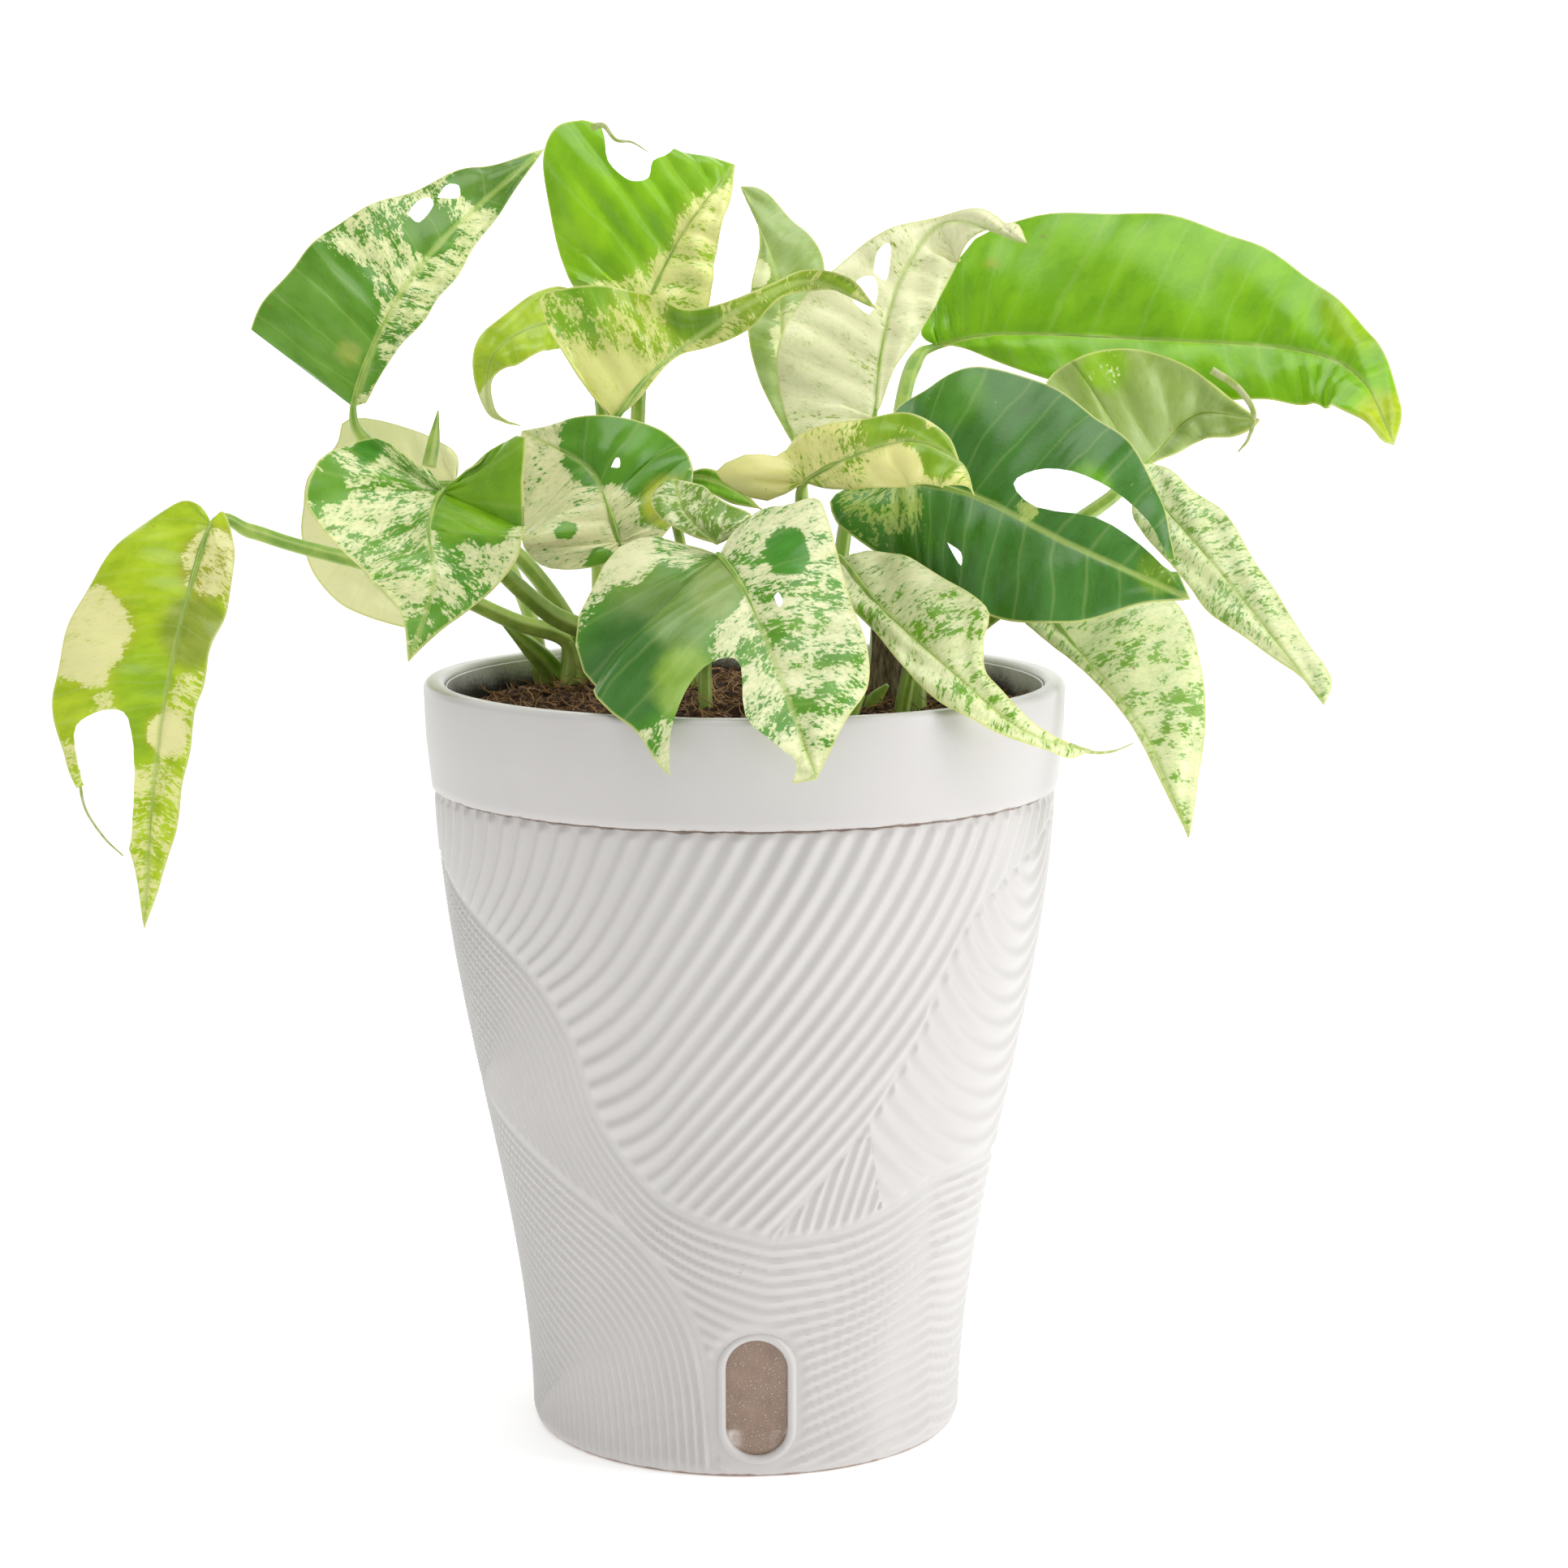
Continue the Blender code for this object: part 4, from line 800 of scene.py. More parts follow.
def tubeMesh(name, route, radii, steps, ribs=0, ribDepth=0.0, flat=1.0, sides=None, ragged=0.0):
    # A closed tube along a smooth route. radii has one value for each given point, and flat squeezes
    # its section.
    sides = sides or stalks["sides"]
    line = smoothCurve(route, steps)
    thickness = np.interp(np.arange(steps + 1) / steps, np.linspace(0, 1, len(radii)), radii)
    ahead = np.gradient(line, axis=0)
    ahead /= np.linalg.norm(ahead, axis=1, keepdims=True)
    side = np.cross(ahead[0], (0.3, 1, 0.2))
    angles = np.arange(sides) * 2 * math.pi / sides
    bulge = 1 + ribDepth * np.cos(ribs * angles)
    points = []
    for index, (centre, direction, radius) in enumerate(zip(line, ahead, thickness)):
        side = side - direction * side.dot(direction)
        side /= np.linalg.norm(side)
        other = np.cross(direction, side)
        ring = np.outer(np.cos(angles) * bulge, side) + flat * np.outer(np.sin(angles) * bulge, other)
        if ragged and index == steps:
            ring = ring + np.outer(random.uniform(-ragged, ragged, sides), direction)
        points.append(centre + radius * ring)
    points = np.vstack(points)
    caps = [line[0], line[-1] - 0.5 * ragged * ahead[-1]]
    rows = steps + 1
    faces = gridFaces(rows, sides, wrap=True)
    first, last = len(points), len(points) + 1
    faces += [(first, (k + 1) % sides, k) for k in range(sides)]
    top = (rows - 1) * sides
    faces += [(last, top + k, top + (k + 1) % sides) for k in range(sides)]
    mesh = bpy.data.meshes.new(name)
    mesh.from_pydata([tuple(p) for p in np.vstack([points, caps]) * mm], [], faces)
    rib = np.tile(np.clip(np.cos(ribs * angles), 0, 1) ** 1.5, rows)
    along = np.repeat(np.arange(rows) / steps, sides)
    addValues(mesh, "rib", "FLOAT", np.concatenate([rib * (ribs > 0), [0, 0]]) * 0.55)
    addValues(mesh, "along", "FLOAT", np.concatenate([along, [0, 1]]))
    bm = bmesh.new()
    bm.from_mesh(mesh)
    bmesh.ops.recalc_face_normals(bm, faces=bm.faces)
    bm.to_mesh(mesh)
    bm.free()
    return mesh


def makeStalks(material):
    # Each stalk rises from the mix and runs on as its blade's midrib.
    for name, leaf in leaves.items():
        if "stalk" not in leaf:
            continue
        foot = np.array(leaf["stalk"][0], float)
        first = foot + (0, 0, stalks["footHeight"] - foot[2])
        rib = [(x, y + stalks["behind"], z) for x, y, z in leaf["mid"]]
        route = [first, *leaf["stalk"], *rib]
        low, high = leaf["radius"]
        count = len(leaf["stalk"])
        radii = [low * stalks["flare"], *np.linspace(low, high, count)]
        radii[-1] *= 1 + stalks["knuckle"]
        radii += list(np.linspace(stalks["midribStart"], stalks["midribEnd"], len(rib)))
        steps = stalks["stepsEach"] * (len(route) - 1)
        mesh = tubeMesh("stem_" + name, route, radii, steps, stalks["ribs"], stalks["ribDepth"])
        finishPiece("stem_" + name, mesh, material, "planter", ["stalk_" + name])
    print("stalks made")


# Shoots, cut stubs and the old stem: (x, y, z) routes with their radii at each point.
shoots = {
    "crown_left": {"route": [(-40, 36, 167), (-40, 36, 175), (-41, 35, 180), (-43, 33, 184)],
                   "radii": (6, 5.2, 4, 2.4), "ribs": 7, "slot": "stalk", "ragged": 0.4},
    "sheath_left": {"route": [(-44, 42, 167), (-48, 39, 175), (-53, 35, 181), (-59, 32, 187)],
                    "radii": (3.4, 3, 2.2, 0.5), "ribs": 6, "slot": "stalk", "ragged": 0.3},
    "old_stem": {"route": [(34, 4, 167), (34, 5, 176), (34, 6, 184), (33, 6, 191)],
                 "radii": (5, 4.4, 3.8, 3), "ribs": 9, "slot": "bark", "ragged": 1.2},
    "stub_tall": {"route": [(36, -30, 167), (36, -30, 174), (37, -31, 180), (38, -32, 185)],
                  "radii": (1.8, 1.7, 1.6, 1.5), "ribs": 5, "slot": "stalk", "ragged": 0.7},
    "stub_short": {"route": [(22, -43, 168), (24, -42, 174), (26, -41, 179)],
                   "radii": (1.7, 1.6, 1.4), "ribs": 5, "slot": "stalk", "ragged": 0.7},
    "basal_bud": {"route": [(29, -14, 168), (30, -14.5, 174), (33, -16, 178)],
                  "radii": (2, 2, 0.5), "ribs": 0, "slot": "stalk", "ragged": 0},
    "rolled_leaf": {"route": [(-75, 19, 226), (-74, 21, 232), (-73, 22, 239)],
                    "radii": (1.7, 1.4, 0.15), "ribs": 3, "slot": "stalk", "ragged": 0},
}

# Thin withered tips and hooks at the ends of blades.
threads = {
    "tip_far_left": {"route": [(-154, -15, 158), (-152, -19, 150), (-147, -24, 144), (-142, -27, 140)],
                     "radii": (0.5, 0.35, 0.3, 0.15)},
    "tip_top_green": {"route": [(-38, 61, 306), (-35, 60, 306.4), (-32, 59, 303), (-28, 58, 302.4),
                                (-24, 57, 300)],
                      "radii": (0.9, 0.7, 0.5, 0.3, 0.12)},
    "tip_sage_curl": {"route": [(112, 33, 248), (118, 32, 244), (122, 31, 238), (121, 31, 232),
                                (118.5, 31, 228.5)],
                      "radii": (1, 0.9, 0.7, 0.45, 0.2)},
    "tip_tendril": {"route": [(72, -55, 169.6), (77, -51.5, 167.6), (82, -49, 167.4), (87, -47, 169)],
                    "radii": (0.8, 0.5, 0.35, 0.12)},
    "tip_front_split": {"route": [(-17, -62, 168), (-13, -65, 165.6), (-9, -66, 165.8), (-7.5, -66.5, 168)],
                        "radii": (0.6, 0.8, 0.6, 0.15)},
}


tubes = {"stepsEach": 8, "ribDepth": 0.13, "sides": 36, "threadSteps": 40, "threadSides": 10,
         "threadFlat": 0.5}


def makeShoots(materials):
    for name, shoot in shoots.items():
        steps = tubes["stepsEach"] * (len(shoot["route"]) - 1)
        depth = tubes["ribDepth"] if shoot["ribs"] else 0
        mesh = tubeMesh("shoot_" + name, shoot["route"], shoot["radii"], steps, shoot["ribs"], depth,
                        sides=tubes["sides"], ragged=shoot["ragged"])
        finishPiece("shoot_" + name, mesh, materials[shoot["slot"]], "planter", [name])
    for name, thread in threads.items():
        mesh = tubeMesh(name, thread["route"], thread["radii"], tubes["threadSteps"],
                        flat=tubes["threadFlat"], sides=tubes["threadSides"])
        finishPiece(name, mesh, materials["dry"], "planter")
    print("shoots and threads made")


# Curves that part the fields of ridges on the wall, as (degrees round from the front, height).
reliefLines = {
    "left": [(-92, 141), (-71, 133), (-47, 120), (-36, 105), (-31, 85), (-21, 70), (-10, 63), (7, 58)],
    "right": [(8, 59), (25, 82), (36, 103), (48, 131), (79, 147), (92, 150)],
    "under": [(7, 58), (22, 59.4), (33, 62.4), (48, 68), (67, 68), (92, 66)],
    "low": [(-92, 88), (-60, 76), (-40, 66), (-25, 56), (-14, 42), (-9, 25), (-7, -3)],
}
relief = {"depth": 0.9, "fineDepth": 0.72, "ridge": 5, "fine": 2.2, "arc": 3.1, "sweep": 2.6,
          "upright": 3.2, "nested": 4.2, "nestCentre": (73, 150), "border": 1.3, "curlEnds": 38,
          "meet": 7.5, "sweepEnds": -6.5, "sideSeam": (88, 90), "mmPerDegree": 1.08}
wallGrid = {"columns": 460, "rows": 212, "lineSteps": 160, "chamfer": 1}


def distanceTo(line, across, height):
    # The distance in millimetres from each grid point to a smooth line, in the unrolled wall.
    curve = smoothCurve([(degrees * relief["mmPerDegree"], z) for degrees, z in line],
                        wallGrid["lineSteps"])
    nearest = np.full(across.shape, 1e9)
    for x, z in curve:
        nearest = np.minimum(nearest, (across - x) ** 2 + (height - z) ** 2)
    return np.sqrt(nearest)


def lineHeight(line, degrees):
    curve = smoothCurve(line, wallGrid["lineSteps"])
    return np.interp(degrees, curve[:, 0], curve[:, 1])


def reliefHeight(degrees, height):
    # How far the moulded ridges stand out: five fields of parallel ridges that sweep round the wall.
    across = degrees * relief["mmPerDegree"]
    left, right, under, low = (lineHeight(line, degrees) for line in reliefLines.values())
    toLeft, toRight, toUnder, toLow = (distanceTo(line, across, height) for line in reliefLines.values())

    down = seamHeight - height
    plain = 0.4 * down + 0.0033 * down**2
    ends = relief["curlEnds"]
    curled = 0.02 * np.minimum(down, ends) ** 2 + 1.2 * np.maximum(down - ends, 0)
    curl = 1 - smoothStep(-62, -15, across)
    upper = (across + plain + (curled - plain) * curl) / relief["ridge"]

    spread = smoothStep(-45, 5, across)
    spacing = relief["fine"] + (relief["arc"] - relief["fine"]) * spread
    toUpper = np.minimum(toLeft, toUnder)
    wave = 0.9 * np.sin(across / 13 - 1.2) * smoothStep(12, 40, toUpper)
    lower = toUpper / spacing + wave
    sweep = toLow / relief["sweep"]
    middle, level = relief["nestCentre"]
    nested = np.hypot(across - middle, 0.75 * (height - level)) / relief["nested"]
    upright = (across - 0.25 * (height - 60)) / relief["upright"]

    meet, sweepEnds = relief["meet"], relief["sweepEnds"]
    isUpper = height > np.where(degrees < meet, left, right)
    isNested = (degrees >= meet) & ~isUpper & (height > under)
    isUpright = isNested & (across < 29 + (82 - height) * 0.3) & (height < 81)
    isSweep = (height < low) & (degrees < sweepEnds)
    phase = np.where(isUpper, upper, lower)
    phase = np.where(isNested, nested, phase)
    phase = np.where(isUpright, upright, phase)
    phase = np.where(isSweep, sweep, phase)
    ridge = 0.5 + 0.5 * np.cos(2 * math.pi * phase)
    depth = np.where(isUpper | isNested, relief["depth"], relief["fineDepth"] + 0.12 * spread)

    border = relief["border"]
    clear = 9
    fade = smoothStep(0, border, toLeft)
    for where, distance in ((degrees > meet - 0.5, toRight), (degrees > meet - 0.5, toUnder),
                            (degrees < sweepEnds + 0.5, toLow)):
        fade = fade * smoothStep(0, border, np.where(where, distance, clear))
    fade *= smoothStep(0, 2, seamHeight - height) * smoothStep(1, 3, height)
    fade *= 1 - smoothStep(*relief["sideSeam"], np.abs(degrees))
    return depth * ridge * fade


def windowDistance(x, z, width, height):
    # How far a point lies outside a stadium centred on the window. It is negative inside.
    straight = (height - width) / 2
    rise = np.maximum(np.abs(z - window["z"]) - straight, 0)
    return np.hypot(x - window["x"], rise) - width / 2


def wallSkin(name, turn):
    # Half of the wall's outer face, with its ridges. turn is 0 for the front and 180 for the back.
    columns, rows = wallGrid["columns"], wallGrid["rows"]
    degrees = np.linspace(-90, 90, columns + 1)[None, :] + np.zeros((rows + 1, 1))
    height = np.linspace(1, seamHeight, rows + 1)[:, None] + np.zeros((1, columns + 1))
    stand = reliefHeight(degrees, height)
    angle = np.radians(degrees + turn)
    if turn == 0:
        x, z = outerRadius(height) * np.sin(angle), height
        outside = windowDistance(x, z, window["width"], window["height"])
        stand = stand * smoothStep(window["lip"] + 0.4, window["lip"] + 3, outside)
    radius = outerRadius(height) + stand
    front = np.stack([radius * np.sin(angle), -radius * np.cos(angle), height], axis=-1)
    # the skin turns in over the wall's top and under its chamfered foot
    inner = seamRadius - wall
    top = np.stack([inner * np.sin(angle[0]), -inner * np.cos(angle[0]), 0 * angle[0] + seamHeight],
                   axis=-1)
    foot = footRadius - wallGrid["chamfer"]
    bottom = np.stack([foot * np.sin(angle[0]), -foot * np.cos(angle[0]), 0 * angle[0]], axis=-1)
    points = np.concatenate([bottom[None], front, top[None]])
    faces = gridFaces(rows + 3, columns + 1)
    if turn == 0:
        x, z = points[..., 0].ravel(), points[..., 2].ravel()
        outside = windowDistance(x, z, window["width"], window["height"])
        hidden = (outside < window["lip"] - 0.9) & (points[..., 1].ravel() < 0)
        faces = [face for face in faces if not all(hidden[k] for k in face)]
    mesh = bpy.data.meshes.new(name)
    mesh.from_pydata([tuple(p) for p in points.reshape(-1, 3) * mm], [], faces)
    bm = bmesh.new()
    bm.from_mesh(mesh)
    loose = [vert for vert in bm.verts if not vert.link_faces]
    bmesh.ops.delete(bm, geom=loose, context="VERTS")
    bm.to_mesh(mesh)
    bm.free()
    return mesh


def stadiumRing(width, height, steps=24):
    # Points round a stadium, with the outward direction at each.
    radius = width / 2
    shift = height / 2 - radius
    points, away = [], []
    for end in (1, -1):
        for step in range(steps + 1):
            angle = math.pi * step / steps + (0 if end == 1 else math.pi)
            direction = (math.cos(angle), math.sin(angle))
            points.append((radius * direction[0], radius * direction[1] + end * shift))
            away.append(direction)
    return np.array(points), np.array(away)


def sweptRing(name, width, height, section):
    # A closed ring round the window: section is (out from the stadium, up from the wall).
    points, away = stadiumRing(width, height)
    rows = [np.column_stack([points + out * away, np.full(len(points), up)]) for out, up in section]
    rows.append(rows[0])
    mesh = meshFrom(name, np.vstack(rows), gridFaces(len(rows), len(points), wrap=True))
    return placedOnWall(mesh)


def placedOnWall(mesh):
    put = windowFrame()
    put.translation *= mm
    mesh.transform(put)
    return mesh


def makePaintMaterial():
    # Injection-moulded polypropylene, sprayed off-white. The coat is semi-gloss with a fine orange
    # peel, and the tan plastic shows through as a thin line where it wears off the edges, at the seam
    # and round the foot.
    material, tree, shader = newMaterial("spray-painted polypropylene, off-white semi-gloss")
    place = addNode(tree, "ShaderNodeTexCoord").outputs["Object"]
    cloud = addNode(tree, "ShaderNodeTexNoise", {"Vector": place, "Scale": 1 / (30 * mm),
                    "Detail": 3}).outputs["Fac"]
    peel = addNode(tree, "ShaderNodeTexNoise", {"Vector": place, "Scale": 1 / (1.1 * mm),
                   "Detail": 2}).outputs["Fac"]
    coat = addNode(tree, "ShaderNodeMix", {0: cloud, 6: hexToLinear("#cdcac8"), 7: hexToLinear("#d6d3d0")},
                   data_type="RGBA").outputs[2]
    high = addNode(tree, "ShaderNodeSeparateXYZ", {0: place}).outputs[2]
    rough = addNode(tree, "ShaderNodeTexNoise", {"Vector": place, "Scale": 1 / (4 * mm),
                    "Detail": 4}).outputs["Fac"]
    jitter = addNode(tree, "ShaderNodeMath", {0: rough, 1: 0.5}, operation="SUBTRACT").outputs[0]
    level = addNode(tree, "ShaderNodeMath", {0: jitter, 1: 1.6 * mm, 2: high},
                    operation="MULTIPLY_ADD").outputs[0]
    foot = addNode(tree, "ShaderNodeMapRange", {"Value": level, "From Min": 0.1 * mm, "From Max": 0.7 * mm,
                   "To Min": 0.9, "To Max": 0}).outputs[0]
    worn = addNode(tree, "ShaderNodeMix", {0: foot, 6: coat, 7: hexToLinear("#93735a")},
                   data_type="RGBA").outputs[2]
    fromSeam = addNode(tree, "ShaderNodeMath", {0: level, 1: (seamHeight + 0.1) * mm},
                       operation="SUBTRACT").outputs[0]
    fromSeam = addNode(tree, "ShaderNodeMath", {0: fromSeam}, operation="ABSOLUTE").outputs[0]
    seam = addNode(tree, "ShaderNodeMapRange", {"Value": fromSeam, "From Min": 0.2 * mm,
                   "From Max": 0.5 * mm, "To Min": 0.85, "To Max": 0}).outputs[0]
    worn = addNode(tree, "ShaderNodeMix", {0: seam, 6: worn, 7: hexToLinear("#86705f")},
                   data_type="RGBA").outputs[2]
    specks = addNode(tree, "ShaderNodeTexVoronoi",
                     {"Vector": place, "Scale": 1 / (22 * mm)}).outputs["Distance"]
    speck = addNode(tree, "ShaderNodeMapRange", {"Value": specks, "From Min": 0.012, "From Max": 0.02,
                    "To Min": 0.5, "To Max": 0}).outputs[0]
    dotted = addNode(tree, "ShaderNodeMix", {0: speck, 6: worn, 7: hexToLinear("#8d8580")},
                     data_type="RGBA").outputs[2]
    tree.links.new(dotted, shader.inputs["Base Color"])
    sheen = addNode(tree, "ShaderNodeMapRange", {"Value": cloud, "From Min": 0.3, "From Max": 0.7,
                    "To Min": 0.3, "To Max": 0.38}).outputs[0]
    tree.links.new(sheen, shader.inputs["Roughness"])
    shader.inputs["IOR"].default_value = 1.5
    bump = addNode(tree, "ShaderNodeBump", {"Height": peel, "Strength": 0.3,
                   "Distance": 0.12 * mm}).outputs[0]
    tree.links.new(bump, shader.inputs["Normal"])
    return material


def makeLensMaterial():
    # A clear polystyrene window with a frosted back. Wet mix behind it tints it brown, pale glints of light
    # are painted on the frosting, and dried lime leaves whitish smears near the bottom.
    material, tree, shader = newMaterial("frosted polystyrene window, lime-stained")
    place = addNode(tree, "ShaderNodeTexCoord").outputs["Object"]
    cloud = addNode(tree, "ShaderNodeTexNoise", {"Vector": place, "Scale": 1 / (5 * mm),
                    "Detail": 4}).outputs["Fac"]
    tint = addNode(tree, "ShaderNodeMix", {0: cloud, 6: hexToLinear("#7d6453"), 7: hexToLinear("#a38a77")},
                   data_type="RGBA").outputs[2]
    # the frosting's fine grain: it bumps the surface, and its brightest spots are painted pale as glints of
    # light
    grainAndPaintedGlints = addNode(tree, "ShaderNodeTexNoise", {"Vector": place, "Scale": 1 / (0.35 * mm),
                      "Detail": 2}).outputs["Fac"]
    paintedGlints = addNode(tree, "ShaderNodeMapRange", {"Value": grainAndPaintedGlints, "From Min": 0.62, "From Max": 0.72,
                      "To Max": 0.7}).outputs[0]
    # painted highlight: pale glint specks mixed into the brown tint
    lit = addNode(tree, "ShaderNodeMix", {0: paintedGlints, 6: tint, 7: hexToLinear("#e3d8cd")},
                  data_type="RGBA").outputs[2]
    parts = addNode(tree, "ShaderNodeSeparateXYZ", {0: place})
    high = addNode(tree, "ShaderNodeMapRange", {"Value": parts.outputs[2], "From Min": 11 * mm,
                   "From Max": 15 * mm, "To Min": 1, "To Max": 0},
                   interpolation_type="SMOOTHSTEP").outputs[0]
    side = addNode(tree, "ShaderNodeMath", {0: parts.outputs[0], 1: window["x"] * mm},
                   operation="SUBTRACT").outputs[0]
    side = addNode(tree, "ShaderNodeMath", {0: side}, operation="ABSOLUTE").outputs[0]
    side = addNode(tree, "ShaderNodeMapRange", {"Value": side, "From Min": 2.5 * mm, "From Max": 6 * mm},
                   interpolation_type="SMOOTHSTEP").outputs[0]
    smear = addNode(tree, "ShaderNodeMapRange", {"Value": cloud, "From Min": 0.42, "From Max": 0.62,
                    "To Max": 0.9}).outputs[0]
    smear = addNode(tree, "ShaderNodeMath", {0: smear, 1: high}, operation="MULTIPLY").outputs[0]
    smear = addNode(tree, "ShaderNodeMath", {0: smear, 1: side}, operation="MULTIPLY").outputs[0]
    limed = addNode(tree, "ShaderNodeMix", {0: smear, 6: lit, 7: hexToLinear("#e6dfd8")},
                    data_type="RGBA").outputs[2]
    tree.links.new(limed, shader.inputs["Base Color"])
    shader.inputs["Roughness"].default_value = 0.22
    shader.inputs["IOR"].default_value = 1.59
    bump = addNode(tree, "ShaderNodeBump", {"Height": grainAndPaintedGlints, "Strength": 0.25,
                   "Distance": 0.1 * mm}).outputs[0]
    tree.links.new(bump, shader.inputs["Normal"])
    return material


wallCore = {"skin": 0.35, "rings": 24, "steps": 160, "chamfer": 1.2, "cutReach": 10}


def makeOuterPot(materials):
    paint = materials["painted_shell"]
    for name, turn in (("wall_front", 0), ("wall_back", 180)):
        finishPiece(name, wallSkin(name, turn), paint, "shell", ["outer_pot"])
    rings, skin = wallCore["rings"], wallCore["skin"]
    heights = [seamHeight * k / rings for k in range(rings, 0, -1)]
    profile = [(float(outerRadius(h)) - skin, h - skin) for h in heights]
    profile += [(footRadius - skin, 1), (footRadius - wallCore["chamfer"], 0.05), (0.01, 0.05),
                (0.01, wall)]
    profile += [(float(outerRadius(h)) - wall, max(h, wall)) for h in [0] + heights[::-1][:-1]]
    profile += [(seamRadius - wall, seamHeight - skin), profile[0]]
    core = turnedMesh("wall_core", profile, wallCore["steps"])
    ring, _ = stadiumRing(window["width"] + window["lip"], window["height"] + window["lip"])
    reach = wallCore["cutReach"]
    points = [(x, y, z) for z in (-reach, reach) for x, y in ring]
    opening = placedOnWall(meshFrom("opening", points, prismFaces(len(ring))))
    core = cutWith(core, [opening])
    finishPiece("wall_core", core, paint, "shell", ["outer_pot"], 40)
    lip = window["lip"]
    section = [(-0.1, -2.2), (-0.1, 0.1), (0.1, 0.55), (0.5, 0.85), (lip / 2, 0.95), (lip - 0.4, 0.85),
               (lip, 0.5), (lip + 0.25, 0), (lip + 0.25, -2.2)]
    finishPiece("window_lip", sweptRing("window_lip", window["width"], window["height"], section), paint,
                "shell", ["window_seal"], 70)
    makeLens(materials["window"])
    print("outer pot made")


def makeLens(material):
    # The window: a stadium plate that domes slightly, with a rounded edge.
    width, height = window["width"] - 0.1, window["height"] - 0.1
    points, _ = stadiumRing(width, height)
    half = (height - width) / 2
    straight = np.column_stack([0 * points[:, 0], np.clip(points[:, 1], -half, half)])
    depth, rim, dome, steps, middle = 2, -0.55, 0.35, 8, 0.001
    rows = [np.column_stack([points, np.full(len(points), -depth)])]
    for step in range(steps + 1):
        share = 1 - step / steps
        level = np.full(len(points), rim + dome * (1 - share**4))
        rows.append(np.column_stack([straight + (points - straight) * max(share, middle), level]))
    rows.append(np.column_stack([straight + (points - straight) * middle, np.full(len(points), -depth)]))
    rows.append(rows[0])
    mesh = meshFrom("window_pane", np.vstack(rows), gridFaces(len(rows), len(points), wrap=True))
    finishPiece("window_pane", placedOnWall(mesh), material, "shell", ["window_lens"])


def makeLinerMaterial():
    # Injection-moulded black polypropylene. Overspray from the collar's paint reaches a little way down
    # inside and thins out in dots.
    material, tree, shader = newMaterial("moulded black polypropylene with paint overspray")
    place = addNode(tree, "ShaderNodeTexCoord").outputs["Object"]
    high = addNode(tree, "ShaderNodeSeparateXYZ", {0: place}).outputs[2]
    mist = addNode(tree, "ShaderNodeTexNoise", {"Vector": place, "Scale": 1 / (0.8 * mm), "Detail": 4,
                   "Roughness": 0.7}).outputs["Fac"]
    broad = addNode(tree, "ShaderNodeTexNoise", {"Vector": place, "Scale": 1 / (18 * mm),
                    "Detail": 2}).outputs["Fac"]
    both = addNode(tree, "ShaderNodeMath", {0: mist, 1: broad}, operation="ADD").outputs[0]
    level = addNode(tree, "ShaderNodeMath", {0: both, 1: 6 * mm, 2: high},
                    operation="MULTIPLY_ADD").outputs[0]
    sprayed = addNode(tree, "ShaderNodeMapRange", {"Value": level, "From Min": 176.5 * mm,
                      "From Max": 183 * mm}, interpolation_type="SMOOTHSTEP").outputs[0]
    tone = addNode(tree, "ShaderNodeMix", {0: sprayed, 6: hexToLinear("#2b2a2b"),
                   7: hexToLinear("#d6d3d1")}, data_type="RGBA").outputs[2]
    tree.links.new(tone, shader.inputs["Base Color"])
    shader.inputs["Roughness"].default_value = 0.42
    bump = addNode(tree, "ShaderNodeBump", {"Height": mist, "Strength": 0.15,
                   "Distance": 0.1 * mm}).outputs[0]
    tree.links.new(bump, shader.inputs["Normal"])
    return material


def arc(centre, radius, start, end, steps=6):
    # Points round part of a circle, as (radius, height), with the angles in degrees.
    angles = np.radians(np.linspace(start, end, steps + 1))
    return [(centre[0] + radius * math.cos(a), centre[1] + radius * math.sin(a)) for a in angles]


def basketRadius(height):
    return float(outerRadius(height)) - wall - 2


liner = {"lip": 1.6, "collarSteps": 256, "basketSteps": 128, "drains": 6, "drainRadius": 2.5,
         "drainCircle": 32, "drainCut": 12, "slots": 4, "slotRadius": 2, "slotHeight": 24, "slotStretch": 4,
         "slotCut": 10}


